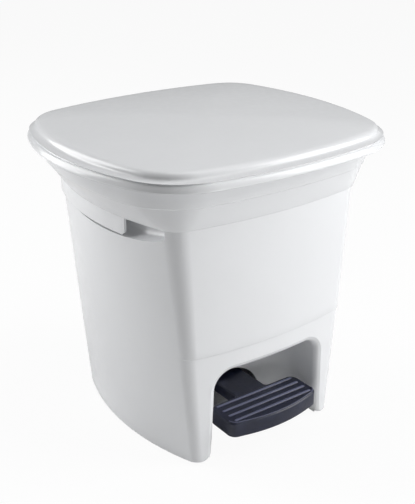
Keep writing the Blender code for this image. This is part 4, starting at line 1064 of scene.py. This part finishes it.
def lid_inner_rows(p):
    """The hollow under the lid."""
    inside = grow(read_outline(p.outline), -p.crease / 2 - p.wall)
    rows = [ring(inside, p.edge_z + height) for height in (-4 * mm, p.crease_z * FLANGE_SHARES[0][1])]
    rows.append(ring(grow(inside, -p.flange_inset), p.edge_z + p.flange_top - p.wall * 1.4))
    rows += flank_rows(p, p.wall)[2:]
    return rows + dome_rows(p, rows[-1], p.dome_z - p.wall)


def knuckle(h, name, side, top_z):
    """A hinge knuckle below the lid, up to a given height."""
    x_low, x_high = (side * h.axis_x + edge * h.knuckle_width / 2 for edge in (-1, 1))
    points = [(h.axis_y + h.knuckle_radius, top_z), (h.axis_y - h.knuckle_radius, top_z)]
    points += arc((h.axis_y, h.axis_z), h.knuckle_radius, HALF_TURN, 2 * HALF_TURN, 24)
    return prism(name, points, "x", x_low, x_high)


def seat_rib(p, casing, gap):
    """Band under the lid that comes down onto the casing's rim."""
    middle = grow(read_outline(casing.rim), -casing.wall / 2)
    low, high = casing.rim_z + gap, p.edge_z + p.dome_z
    outer, inner = grow(middle, p.seat_rib / 2), grow(middle, -p.seat_rib / 2)
    rib = loft("lid_seat_rib", [ring(outer, low), ring(outer, high), ring(inner, high), ring(inner, low)], close=True)
    width, far = casing.rim[0] + 4 * mm, casing.rim[2] + 4 * mm
    points = [(-width, p.seat_rib_back), (width, p.seat_rib_back), (width, far), (-width, far)]
    return cut(rib, prism("rib_gap", points, "z", low - 4 * mm, high + 4 * mm))


def lever_level(p, h):
    """Height of the underside of the lever's plate."""
    return p.edge_z + p.plateau_z - p.wall - h.lever_boss_height - h.lever_plate


class BIN_OT_lid(bpy.types.Operator):
    """Build the lid with its cove, crease, seat rib, knuckles and lever bosses"""
    bl_idname = "pedal_bin.lid"
    bl_label = "Lid"

    def execute(self, context):
        settings = context.scene.pedal_bin
        p, h, f = settings.lid, settings.hinge, settings.fixings
        lid = loft("bin_lid", lid_outer_rows(p))
        hollow = loft("lid_hollow", lid_inner_rows(p))
        above = p.edge_z + p.dome_z + 4 * mm
        boss_low = lever_level(p, h) + h.lever_plate + h.gap
        span = [(0, h.lever_boss_radius), (above - boss_low, h.lever_boss_radius)]
        places = {side: Vector((side * h.lever_boss_x, h.lever_boss_y, boss_low)) for side in (-1, 1)}
        cut(hollow, seat_rib(p, settings.casing, h.gap),
            *(knuckle(h, f"knuckle_root_{side}", side, above) for side in (-1, 1)),
            *(turned(f"lever_boss_{side}", places[side], "z", span) for side in (-1, 1)))
        cut(lid, hollow)
        fuse(lid, *(knuckle(h, f"knuckle_{side}", side, h.axis_z + h.knuckle_radius + 4 * mm) for side in (-1, 1)))
        reach = h.axis_x + h.knuckle_width
        hole = f.shank_radius + h.clearance
        cut(lid, bore("knuckle_bore", -reach, reach, h.axis_y, h.axis_z, h.pin_radius + h.clearance),
            *(turned(f"lever_hole_{side}", places[side], "z", [(-4 * mm, hole), (7 * mm, hole)]) for side in (-1, 1)))
        finish_piece(lid, finish(settings, "lid_plastic"))
        put(lid, "lid", "lid_plastic", "lid_shell")
        return {"FINISHED"}


# Pedal


def tread_outline(p, inset=0.0):
    """Plan of the tread: bowed front and rounded corners."""
    half = p.half_width - inset
    corner = p.corner - inset / 2
    back = p.front_y + p.depth - inset
    side_front = p.front_y + p.bow + inset
    lean = -HALF_TURN / 2.4
    right = arc((half - corner, back - corner), corner, QUARTER, 0, 12)
    right += arc((half - corner, side_front + corner), corner, 0, lean, 12)
    front = []
    for i in range(1, 20):
        part = 1 - 2 * i / 20
        front.append((part * (half - corner), p.front_y + inset + p.bow * part ** 2))
    return right + front + [(-x, y) for x, y in right[::-1]]


def edge_rows(low, high, bottom, top):
    """(height, inset) pairs of a side with a rounded lower and upper edge."""
    rows = [(low + bottom * (1 - math.cos(t)), bottom * (1 - math.sin(t)))
            for t in (QUARTER * i / 3 for i in range(4))]
    rows += [(high - top * (1 - math.sin(t)), top * (1 - math.cos(t))) for t in (QUARTER * i / 6 for i in range(7))]
    return rows


def tread(p):
    """The hollow tread as one closed shell."""
    low = p.top_z - p.thickness
    inner = [(p.top_z - p.wall, p.wall + 1.2 * mm), (p.top_z - p.wall - 1.2 * mm, p.wall), (low + 0.3 * mm, p.wall),
             (low, p.wall - 0.3 * mm)]
    rows = inner + edge_rows(low, p.top_z, 0.5 * mm, p.edge)
    return loft("bin_pedal", [[Vector((x, y, z)) for x, y in tread_outline(p, inset)] for z, inset in rows])


def arm(p):
    """The arm from the tread back to the hub, flared where it leaves the tread."""
    start = p.front_y + p.depth - p.wall
    flare = p.front_y + p.depth
    rows = []
    for z, inset in edge_rows(p.top_z - 0.8 * mm - p.arm_thickness, p.top_z - 0.8 * mm, 0.6 * mm, 1.4 * mm):
        half = p.arm_half_width - inset
        right = [(half + p.arm_fillet, start)]
        right += arc((half + p.arm_fillet, flare + p.arm_fillet), p.arm_fillet, -QUARTER, -HALF_TURN, 12)
        right.append((half, p.pivot_y))
        rows.append([Vector((x, y, z)) for x, y in right + [(-x, y) for x, y in right[::-1]]])
    return loft("arm", rows)


def drum(p, name, y, z, radius, half_width, edge=0.6 * mm):
    """A short cylinder along X with eased edges."""
    profile = [(-half_width, radius - edge), (-half_width + edge, radius),
               (half_width - edge, radius), (half_width, radius - edge)]
    return turned(name, Vector((0, y, z)), "x", profile)


def rib_bar(p):
    """One rib of the tread, round-topped, with rounded ends."""
    half = p.half_width - p.rib_inset
    ends = [(-half, 0.25), (-half + 0.5 * mm, 0.72), (-half + 1.4 * mm, 1.0)]
    ends += [(-x, high) for x, high in ends[::-1]]
    rings = []
    for x, high in ends:
        wide = p.rib_width / 2 * (0.55 + 0.45 * high)
        top = [(wide * math.cos(t), p.rib_height * high * math.sin(t) ** 0.7)
               for t in (HALF_TURN * i / 10 for i in range(11))]
        rings.append([Vector((x, y, z)) for y, z in [(wide, -0.8 * mm), *top, (-wide, -0.8 * mm)]])
    return loft("rib_bar", rings)


class BIN_OT_pedal(bpy.types.Operator):
    """Build the pedal lever and repeat the ribs across its tread"""
    bl_idname = "pedal_bin.pedal"
    bl_label = "Pedal"

    def execute(self, context):
        settings = context.scene.pedal_bin
        p, rod, gap = settings.pedal, settings.rod, settings.hinge.clearance
        surface = finish(settings, "pedal_plastic")
        pedal = tread(p)
        half = p.tail_thickness / 2
        tail = [(p.pivot_y, p.pivot_z - half), (rod.low_y, rod.low_z - half * 0.9)]
        tail += [(rod.low_y, rod.low_z + half * 0.9), (p.pivot_y, p.pivot_z + half)]
        fuse(pedal, arm(p), drum(p, "hub", p.pivot_y, p.pivot_z, p.hub_radius, p.arm_half_width),
             prism("tail", tail, "x", -p.tail_half_width + 0.4 * mm, p.tail_half_width - 0.4 * mm),
             drum(p, "eye", rod.low_y, rod.low_z, p.tail_end_radius, p.tail_half_width))
        reach = p.arm_half_width + 4 * mm
        cut(pedal, bore("axle_hole", -reach, reach, p.pivot_y, p.pivot_z, p.axle_radius + gap),
            bore("rod_hole", -reach, reach, rod.low_y, rod.low_z, rod.radius + gap))
        finish_piece(pedal, surface)
        put(pedal, "pedal", "pedal_plastic", "pedal_lever")
        bar = rib_bar(p)
        pitch = (p.depth - p.bow - 2 * p.rib_inset) / (p.ribs - 1)
        first = p.front_y + p.bow + p.rib_inset
        ribs = points_object("tread_ribs", [(0, first + i * pitch, p.top_z) for i in range(p.ribs)])
        grow_nodes(ribs, repeat_tree(), shape=bar, material=surface)
        discard(bar)
        line = tread_outline(p, p.edge * 0.8)
        front = [(x, y, p.top_z) for x, y in line if y < p.front_y + p.bow + p.corner]
        bead = chain_object("tread_bead", front)
        grow_nodes(bead, wire_tree(), wire_radius=p.bead_radius, bend_radius=p.corner / 4, bend_steps=2, sides=12,
                   material=surface)
        finish_piece(bead, surface)
        put(bead, "pedal", "pedal_plastic", "pedal_lever")
        finish_piece(ribs, surface)
        put(ribs, "pedal", "pedal_plastic", "pedal_lever")
        return {"FINISHED"}


# Rod, wire and pins


class BIN_OT_rod(bpy.types.Operator):
    """Bend the push rod and add its two clips"""
    bl_idname = "pedal_bin.rod"
    bl_label = "Push rod and clips"

    def execute(self, context):
        settings = context.scene.pedal_bin
        p, gap = settings.rod, settings.hinge.gap
        steel = finish(settings, "rod_steel")
        path = [(p.low_end, p.low_y, p.low_z), (p.x, p.low_y, p.low_z), (p.x, p.low_y, p.crank_low_z),
                (p.x, p.high_y, p.crank_high_z), (p.x, p.high_y, p.high_z), (p.high_end, p.high_y, p.high_z)]
        rod = chain_object("bin_push_rod", path)
        grow_nodes(rod, wire_tree(), wire_radius=p.radius, bend_radius=p.bend, bend_steps=10, sides=24, material=steel)
        finish_piece(rod, steel, 50.0)
        put(rod, "rod", "rod_steel", "push_rod")
        nylon = finish(settings, "clip_nylon")
        for name in ("rod_clip_lower", "rod_clip_upper"):
            low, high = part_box(name)
            middle = (low + high) / 2
            width = high.x - low.x
            edge = 0.5 * mm
            profile = [(0, p.clip_radius - edge), (edge / 3, p.clip_radius - edge / 3), (edge, p.clip_radius),
                       (width - edge, p.clip_radius), (width - edge / 3, p.clip_radius - edge / 3),
                       (width, p.clip_radius - edge)]
            clip = turned("bin_" + name, Vector((low.x, middle.y, middle.z)), "x", profile)
            cut(clip, bore("clip_hole", low.x - mm, high.x + mm, middle.y, middle.z, p.radius + gap))
            finish_piece(clip, nylon)
            put(clip, "rod", "clip_nylon", name)
        return {"FINISHED"}


class BIN_OT_pins(bpy.types.Operator):
    """Turn the pedal's axle and the two hinge pins"""
    bl_idname = "pedal_bin.pins"
    bl_label = "Axle and hinge pins"

    def execute(self, context):
        settings = context.scene.pedal_bin
        p, h = settings.pedal, settings.hinge
        reach, edge = p.axle_reach, 0.5 * mm
        half = [(reach, p.axle_radius), (reach, p.axle_head_radius - edge / 3),
                (reach + edge / 3, p.axle_head_radius), (reach + p.axle_head - 2 * edge, p.axle_head_radius),
                (reach + p.axle_head - edge, p.axle_head_radius - edge),
                (reach + p.axle_head, p.axle_head_radius - 3 * edge)]
        profile = [(-x, r) for x, r in half[::-1]] + half
        axle = turned("bin_pedal_axle", Vector((0, p.pivot_y, p.pivot_z)), "x", profile)
        finish_piece(axle, finish(settings, "axle_steel"))
        put(axle, "casing", "axle_steel", "pedal_axle")
        steel = finish(settings, "pin_steel")
        for name in ("hinge_pin_left", "hinge_pin_right"):
            low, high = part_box(name)
            head, tip = low.x, high.x
            profile = [(head, h.pin_head_radius - 2 * edge), (head + edge, h.pin_head_radius - edge / 2),
                       (head + 1.5 * edge, h.pin_head_radius), (head + h.pin_head, h.pin_head_radius),
                       (head + h.pin_head, h.pin_radius), (tip - edge, h.pin_radius), (tip, h.pin_radius - edge)]
            pin = turned("bin_" + name, Vector((0, h.axis_y, h.axis_z)), "x", profile)
            finish_piece(pin, steel)
            put(pin, "casing", "pin_steel", name)
        return {"FINISHED"}


# Screws and feet


def screw_shape(f, length):
    """A pan-head screw with a cross recess, its thread as fine rings, head down at the origin."""
    profile = [(-f.head, f.head_radius * 0.72), (-f.head * 0.82, f.head_radius * 0.88),
               (-f.head * 0.5, f.head_radius * 0.98), (-f.head * 0.15, f.head_radius), (0, f.head_radius * 0.96),
               (0, f.shank_radius)]
    turns = 7
    for i in range(turns):
        z = length * (0.2 + 0.7 * i / turns)
        profile += [(z, f.shank_radius), (z + length * 0.03, f.shank_radius * 0.8),
                    (z + length * 0.06, f.shank_radius)]
    profile += [(length * 0.95, f.shank_radius), (length, f.shank_radius * 0.3)]
    screw = turned("screw_shape", Vector((0, 0, 0)), "z", profile, 24)
    tools = []
    arm_length = f.head_radius * 0.6
    for name, wide, deep in (("slot_a", arm_length, f.recess / 2), ("slot_b", f.recess / 2, arm_length)):
        low = [Vector((x * wide, y * deep, -f.head - mm)) for x, y in ((-1, -1), (1, -1), (1, 1), (-1, 1))]
        high = [Vector((v.x * 0.7, v.y * 0.7, -f.head * 0.35)) for v in low]
        tools.append(loft(name, [low, high]))
    return cut(screw, *tools)


def foot_shape(f):
    """A rubber foot with a dished face and a barbed stem."""
    edge, radius = f.foot_round, f.foot_radius
    profile = [(0.5 * mm, radius * 0.4), (0.1 * mm, radius * 0.62), (0, radius * 0.72), (0, radius - edge)]
    profile += [(edge * (1 - math.cos(t)), radius - edge * (1 - math.sin(t))) for t in (0.5, 1.0, QUARTER)]
    profile += [(f.foot_height, radius), (f.foot_height, f.stem_radius), (f.barb_z, f.stem_radius),
                (f.barb_z, f.barb_radius), (f.barb_z + f.barb * 0.3, f.barb_radius),
                (f.barb_z + f.barb, f.stem_radius)]
    return turned("foot_shape", Vector((0, 0, 0)), "z", profile, 40)


def repeat(name, shape, places, surface, body, slot, nodes):
    """One shape at several places, as one piece on one body."""
    item = points_object(name, places)
    grow_nodes(item, repeat_tree(), shape=shape, material=surface)
    discard(shape)
    finish_piece(item, surface)
    put(item, body, slot, *nodes)
    return item


class BIN_OT_fixings(bpy.types.Operator):
    """Repeat the screws and the rubber feet at their places"""
    bl_idname = "pedal_bin.fixings"
    bl_label = "Screws and feet"

    def execute(self, context):
        settings = context.scene.pedal_bin
        f = settings.fixings
        steel = finish(settings, "screw_steel")
        groups = [
            ("base_screws", "casing", ("base_screw_right", "base_screw_left", "base_screw_back_right",
                                       "base_screw_back_left")),
            ("lever_screws", "lid", ("lever_screw_left", "lever_screw_right")),
        ]
        for name, body, nodes in groups:
            boxes = [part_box(node) for node in nodes]
            length = boxes[0][1].z - boxes[0][0].z - f.head
            places = [node_middle(node) + Vector((0, 0, f.head)) for node in nodes]
            if body == "lid":
                level = lever_level(settings.lid, settings.hinge) - 0.1 * mm
                places = [Vector((place.x, place.y, level)) for place in places]
            repeat(name, screw_shape(f, length), places, steel, body, "screw_steel", nodes)
        feet = ("foot_front_left", "foot_front_right", "foot_back_left", "foot_back_right")
        rubber = finish(settings, "foot_rubber")
        repeat("rubber_feet", foot_shape(f), [node_middle(node) for node in feet], rubber, "casing",
               "foot_rubber", feet)
        return {"FINISHED"}


# Bucket


def bucket_rows(p):
    """The bucket from its floor's outside up over the rim and down to its floor's inside."""
    height = p.top_z - p.floor_z
    floor, top = read_outline(p.floor), read_outline(p.top)

    def outline(z, inset):
        return grow(blend(floor, top, min(max((z - p.floor_z) / height, 0.0), 1.0)), -inset)

    rows = []
    turns = [QUARTER * i / 8 for i in range(9)]
    for t in turns:
        z = p.floor_z + p.foot_round * (1 - math.cos(t))
        rows.append((z, p.foot_round * (1 - math.sin(t))))
    start, end = p.floor_z + p.foot_round, p.top_z - p.wall
    rows += [(start + (end - start) * i / 16, 0.0) for i in range(1, 16)]
    skirt, drop = p.flange, p.top_z - p.flange_drop
    rows += [(end - 1.5 * mm, 0.0), (end - 0.4 * mm, -0.4 * mm), (end, -1.5 * mm)]
    rows += [(end, -skirt + p.wall + 1.2 * mm), (end - 0.4 * mm, -skirt + p.wall + 0.3 * mm),
             (end - 1.4 * mm, -skirt + p.wall), (drop + 0.3 * mm, -skirt + p.wall), (drop, -skirt + p.wall - 0.3 * mm),
             (drop, -skirt + 0.3 * mm), (drop + 0.3 * mm, -skirt)]
    for t in turns[::2]:
        rows.append((p.top_z - 2 * mm * (1 - math.sin(t)), -skirt + 2 * mm * (1 - math.cos(t))))
    rows += [(p.top_z, -skirt / 2), (p.top_z, p.wall - 1.6 * mm), (p.top_z - 0.4 * mm, p.wall - 0.4 * mm),
             (p.top_z - 1.6 * mm, p.wall)]
    inside = p.foot_round
    low = p.floor_z + p.wall
    rows += [(p.top_z - 1.6 * mm + (low + inside - p.top_z + 1.6 * mm) * i / 16, p.wall) for i in range(1, 16)]
    for t in turns[::-1]:
        rows.append((low + inside * (1 - math.cos(t)), p.wall + inside * (1 - math.sin(t))))
    return [ring(outline(z, inset), z) for z, inset in rows]


class BIN_OT_bucket(bpy.types.Operator):
    """Build the inner bucket, its wire bail and the bail's roll"""
    bl_idname = "pedal_bin.bucket"
    bl_label = "Bucket and bail"

    def execute(self, context):
        settings = context.scene.pedal_bin
        p, h = settings.bucket, settings.hinge
        bucket = loft("bin_bucket", bucket_rows(p))
        pivot_z = p.top_z + h.gap + p.bail_radius
        edge = p.top[0] + p.flange - p.wall
        ears = []
        for side in (-1, 1):
            x_low, x_high = sorted((side * edge, side * (edge - p.ear_thickness)))
            points = arc((p.bail_y, pivot_z), p.ear_radius, 0, HALF_TURN, 20)
            points += [(p.bail_y - p.ear_radius * 1.15, p.top_z - 0.8 * mm)]
            points += [(p.bail_y + p.ear_radius * 1.15, p.top_z - 0.8 * mm)]
            ears.append(prism(f"bail_ear_{side}", points, "x", x_low, x_high))
        fuse(bucket, *ears)
        cut(bucket, bore("bail_hole", -edge - 4 * mm, edge + 4 * mm, p.bail_y, pivot_z, p.bail_radius + h.clearance))
        finish_piece(bucket, finish(settings, "bucket_plastic"))
        put(bucket, "bucket", "bucket_plastic", "inner_bucket")

        steel = finish(settings, "bail_steel")
        leg = edge - p.ear_thickness - p.bail_radius - 2 * h.gap
        tip = edge + p.bail_radius
        front = p.bail_y - p.bail_reach
        corner = arc((leg - p.bail_corner, front + p.bail_corner), p.bail_corner, 0, -QUARTER, 24)
        right = [(tip, p.bail_y), (leg, p.bail_y), *corner]
        path = [(x, y, pivot_z) for x, y in right] + [(-x, y, pivot_z) for x, y in right[::-1]]
        bail = chain_object("bin_bail", path)
        grow_nodes(bail, wire_tree(), wire_radius=p.bail_radius, bend_radius=2 * mm, bend_steps=5, sides=24,
                   material=steel)
        finish_piece(bail, steel, 50.0)
        put(bail, "bail", "bail_steel", "bucket_bail")

        half, radius, groove = p.roll_half_length, p.roll_radius, 0.7 * mm
        profile = [(-half, radius * 0.72), (-half + 0.4 * mm, radius * 0.92), (-half + 1.2 * mm, radius)]
        for i in range(p.roll_grooves):
            x = (2 * half - 12 * mm) * (i / (p.roll_grooves - 1) - 0.5)
            for along, deep in ((-1.1, 0.0), (-0.6, 0.6), (0.0, 1.0), (0.6, 0.6), (1.1, 0.0)):
                profile.append((x + along * mm, radius - groove * deep))
        profile += [(half - 1.2 * mm, radius), (half - 0.4 * mm, radius * 0.92), (half, radius * 0.72)]
        roll = turned("bin_bail_roll", Vector((0, front, pivot_z)), "x", profile)
        cut(roll, bore("roll_hole", -half - mm, half + mm, front, pivot_z, p.bail_radius + h.gap))
        finish_piece(roll, finish(settings, "bucket_plastic"))
        put(roll, "bail", "bucket_plastic", "bail_grip")
        return {"FINISHED"}


# Base plate, rod cover and lid lever


class BIN_OT_base_plate(bpy.types.Operator):
    """Build the base plate with its two axle posts"""
    bl_idname = "pedal_bin.base_plate"
    bl_label = "Base plate"

    def execute(self, context):
        settings = context.scene.pedal_bin
        p, h, f, pedal = settings.casing, settings.hinge, settings.fixings, settings.pedal
        low = p.foot_z + p.plate_rise
        high = low + p.plate_thickness
        edge, ease = p.wall + p.plate_gap, 0.5 * mm
        rows = [(low, edge + ease), (low + ease, edge), (high - ease, edge), (high, edge + ease)]
        plate = loft("bin_base_plate", [ring(casing_outline(p, z, inset), z) for z, inset in rows])
        cut(plate, niche_shape(p, "plate_niche", p.niche_wall + h.gap, low - 8 * mm))
        near = pedal.arm_half_width + p.post_gap
        far = near + p.post_thickness
        post = [(pedal.pivot_y - p.post_half_depth, high - ease), (pedal.pivot_y + p.post_half_depth, high - ease),
                *arc((pedal.pivot_y, pedal.pivot_z), p.post_top, 0, HALF_TURN, 24)]
        fuse(plate, *(prism(f"post_{side}", post, "x", *sorted((side * near, side * far))) for side in (-1, 1)))
        span = (low - 4 * mm, high + 4 * mm)
        holes = [(node_middle(node), f.stem_radius + h.clearance)
                 for node in ("foot_front_left", "foot_front_right", "foot_back_left", "foot_back_right")]
        holes += [(place, f.shank_radius + h.clearance) for place in screw_places()]
        cut(plate, bore("post_bore", -far - mm, far + mm, pedal.pivot_y, pedal.pivot_z, pedal.axle_radius + h.clearance),
            *(turned(f"plate_hole_{i}", Vector((place.x, place.y, 0)), "z", [(span[0], radius), (span[1], radius)])
              for i, (place, radius) in enumerate(holes)))
        finish_piece(plate, finish(settings, "base_plastic"))
        put(plate, "casing", "base_plastic", "base_plate")
        return {"FINISHED"}


class BIN_OT_rod_cover(bpy.types.Operator):
    """Build the cover strip that keeps the bucket off the push rod"""
    bl_idname = "pedal_bin.rod_cover"
    bl_label = "Rod cover"

    def execute(self, context):
        settings = context.scene.pedal_bin
        p, rod = settings.casing, settings.rod
        inner = rod.radius + p.cover_gap
        outer = inner + p.cover_wall
        front = rod.low_y - inner
        rings = []
        for i in range(9):
            z = p.cover_low_z + (p.cover_high_z - p.cover_low_z) * i / 8

            def seat(x):
                return wall_back_y(p, x, z) - 0.65 * mm

            left, right = rod.x - outer, rod.x + outer
            far_left, far_right = left - p.cover_flange, right + p.cover_flange
            points = [(far_left, seat(far_left)), (far_left, seat(far_left) - p.cover_wall),
                      (left, seat(left) - p.cover_wall), (left, front - p.cover_wall),
                      (right, front - p.cover_wall), (right, seat(right) - p.cover_wall),
                      (far_right, seat(far_right) - p.cover_wall), (far_right, seat(far_right)),
                      (rod.x + inner, seat(rod.x + inner)), (rod.x + inner, front),
                      (rod.x - inner, front), (rod.x - inner, seat(rod.x - inner))]
            rings.append([Vector((x, y, z)) for x, y in points])
        cover = loft("bin_rod_cover", rings)
        finish_piece(cover, finish(settings, "casing_plastic"))
        put(cover, "casing", "casing_plastic", "rod_cover")
        return {"FINISHED"}


class BIN_OT_lid_lever(bpy.types.Operator):
    """Build the lever under the lid with its slotted tongue"""
    bl_idname = "pedal_bin.lid_lever"
    bl_label = "Lid lever"

    def execute(self, context):
        settings = context.scene.pedal_bin
        h, rod, f = settings.hinge, settings.rod, settings.fixings
        low = lever_level(settings.lid, h)
        back = rod.high_y + h.lever_end_radius
        corner = 2 * mm
        half, front = h.lever_half_width, back - h.lever_depth
        plan = []
        for x, y, turn in ((half, back, 0), (-half, back, QUARTER), (-half, front, HALF_TURN), (half, front, -QUARTER)):
            centre = (x - math.copysign(corner, x), back - corner if y == back else front + corner)
            plan += arc(centre, corner, turn, turn + QUARTER, 6)
        lever = prism("bin_lid_lever", plan, "z", low, low + h.lever_plate)
        near = h.axis_y - rod.high_y
        slope = math.atan2(h.axis_z - rod.high_z, near)
        far = near / math.cos(slope)
        turn = HALF_TURN + slope
        middle = (near + far) / 2
        centre = (h.axis_y + middle * math.cos(turn), h.axis_z + middle * math.sin(turn))
        tongue = arc(centre, h.lever_end_radius, HALF_TURN, 2 * HALF_TURN, 24)
        tongue += [(centre[0] + h.lever_end_radius, low + mm), (centre[0] - h.lever_end_radius, low + mm)]
        fuse(lever, prism("tongue", tongue, "x", -h.lever_thickness / 2, h.lever_thickness / 2))
        wide, long = rod.radius + h.slot_side_slack, (far - near) / 2 + h.slot_end_slack
        slot = arc((long, 0), wide, -QUARTER, QUARTER, 12)
        slot += [(-x, -y) for x, y in slot]
        slot = [(centre[0] + x * math.cos(turn) - y * math.sin(turn), centre[1] + x * math.sin(turn) + y * math.cos(turn))
                for x, y in slot]
        hole = f.shank_radius + h.clearance
        cut(lever, prism("tongue_slot", slot, "x", -h.lever_thickness, h.lever_thickness),
            *(turned(f"lever_bore_{side}", Vector((side * h.lever_boss_x, h.lever_boss_y, low)), "z",
                     [(-4 * mm, hole), (2 * h.lever_plate, hole)]) for side in (-1, 1)))
        finish_piece(lever, finish(settings, "lid_plastic"))
        put(lever, "lid", "lid_plastic", "lid_lever")
        return {"FINISHED"}


def finish(settings, slot):
    """The material of one of the record's slots, made on first use."""
    name = "finish_" + slot
    made = bpy.data.materials.get(name)
    if made:
        return made
    f, p = settings.finishes, settings.pedal
    if slot in ("casing_plastic", "lid_plastic"):
        return moulded_white(name, f.white, f.gloss)
    if slot in ("bucket_plastic", "base_plastic"):
        return moulded_white(name, f.white_inside, f.gloss * 1.4, grain=0.12)
    if slot == "pedal_plastic":
        # The pedal's material paints a lighter highlight between these two heights, on the ribs' crests and the bead's
        # top.
        return moulded_navy(name, f, p.top_z + p.rib_height * 0.35, p.top_z + p.rib_height)
    if slot == "clip_nylon":
        return moulded_white(name, tinted(f.navy, 2.0), 0.4, grain=0.2)
    if slot == "foot_rubber":
        return matt_rubber(name, f.rubber)
    along = "z" if slot in ("rod_steel", "screw_steel") else "x"
    return drawn_steel(name, f.steel, 0.26, along)


# Stage


def area_light(name, place, target, width, height, power):
    data = bpy.data.lights.new(name, "AREA")
    data.shape = "RECTANGLE"
    data.size = width
    data.size_y = height
    data.energy = power
    item = bpy.data.objects.new(name, data)
    item.location = place
    item.rotation_euler = (Vector(target) - Vector(place)).to_track_quat("-Z", "Y").to_euler()
    bpy.context.scene.collection.objects.link(item)
    return item


def white_to_camera(tree, shader, strength, part):
    """Show a surface or the world as plain white to the camera, by a share."""
    white = tree.nodes.new("ShaderNodeEmission" if strength is None else "ShaderNodeBackground")
    paths = tree.nodes.new("ShaderNodeLightPath")
    mix = tree.nodes.new("ShaderNodeMixShader")
    scale = tree.nodes.new("ShaderNodeMath")
    scale.operation = "MULTIPLY"
    scale.inputs[1].default_value = part
    tree.links.new(paths.outputs["Is Camera Ray"], scale.inputs[0])
    tree.links.new(scale.outputs["Value"], mix.inputs["Fac"])
    tree.links.new(shader, mix.inputs[1])
    tree.links.new(white.outputs[0], mix.inputs[2])
    return mix.outputs["Shader"]


class BIN_OT_stage(bpy.types.Operator):
    """Set up the floor, the soft light and the camera"""
    bl_idname = "pedal_bin.stage"
    bl_label = "Stage"

    def execute(self, context):
        scene = context.scene
        look = scene.pedal_bin.stage
        bm = bmesh.new()
        bmesh.ops.create_circle(bm, cap_ends=True, radius=4.0, segments=64)
        floor = mesh_object("floor", bm)
        surface = bpy.data.materials.new("floor_white")
        surface.use_nodes = True
        tree = surface.node_tree
        shader = tree.nodes["Principled BSDF"]
        shader.inputs["Base Color"].default_value = (0.76, 0.76, 0.76, 1.0)
        shader.inputs["Roughness"].default_value = 0.9
        mixed = white_to_camera(tree, shader.outputs["BSDF"], None, look.floor_white)
        tree.links.new(mixed, tree.nodes["Material Output"].inputs["Surface"])
        floor.data.materials.append(surface)

        world = bpy.data.worlds.new("studio")
        world.use_nodes = True
        scene.world = world
        tree = world.node_tree
        background = tree.nodes["Background"]
        background.inputs["Color"].default_value = (1.0, 1.0, 1.0, 1.0)
        background.inputs["Strength"].default_value = look.ambient
        mixed = white_to_camera(tree, background.outputs["Background"], 1.0, 1.0)
        tree.links.new(mixed, tree.nodes["World Output"].inputs["Surface"])

        middle = (0.0, 0.0, 0.15)
        area_light("left_softbox", (-0.92, 1.16, 0.78), middle, 1.0, 1.5, look.left_power)
        area_light("front_softbox", (1.14, -0.98, 0.86), middle, 0.9, 1.5, look.front_power)
        area_light("low_fill", (-0.10, -0.75, 0.08), (0.0, -0.06, 0.05), 0.5, 0.1, look.fill_power)
        area_light("top_softbox", (0.15, -0.1, 1.05), middle, 0.6, 0.6, look.top_power)

        data = bpy.data.cameras.new("camera")
        data.sensor_fit = "AUTO"
        data.sensor_width = 36.0
        data.lens = look.lens
        camera = bpy.data.objects.new("camera", data)
        camera.location = (-0.4633, -0.6430, 0.4943)
        aim = Vector((0.0059, 0.0038, 0.1501)) - camera.location
        camera.rotation_euler = aim.to_track_quat("-Z", "Y").to_euler()
        scene.collection.objects.link(camera)
        scene.camera = camera
        scene.view_settings.view_transform = "Standard"
        return {"FINISHED"}


class BIN_PT_panel(bpy.types.Panel):
    """Lists the pieces of the pedal bin"""
    bl_idname = "BIN_PT_panel"
    bl_label = "Pedal bin"
    bl_space_type = "VIEW_3D"
    bl_region_type = "UI"
    bl_category = "Pedal bin"

    def draw(self, context):
        for operator in OPERATORS:
            self.layout.operator(operator.bl_idname)


OPERATORS = (BIN_OT_casing, BIN_OT_lid, BIN_OT_pedal, BIN_OT_rod, BIN_OT_pins, BIN_OT_fixings, BIN_OT_bucket,
             BIN_OT_base_plate, BIN_OT_rod_cover, BIN_OT_lid_lever, BIN_OT_stage)
GROUPS = (CasingSizes, HingeSizes, LidSizes, PedalSizes, RodSizes, BucketSizes, FixingSizes, Finishes, StageLook,
          BinSettings)


def register():
    for item in (*GROUPS, *OPERATORS, BIN_PT_panel):
        bpy.utils.register_class(item)
    bpy.types.Scene.pedal_bin = PointerProperty(type=BinSettings)


def unregister():
    del bpy.types.Scene.pedal_bin
    for item in (BIN_PT_panel, *OPERATORS[::-1], *GROUPS[::-1]):
        bpy.utils.unregister_class(item)


def main():
    """Build every piece and the stage."""
    register()
    for operator in OPERATORS:
        group, name = operator.bl_idname.split(".")
        getattr(getattr(bpy.ops, group), name)()


if __name__ == "__main__":
    main()
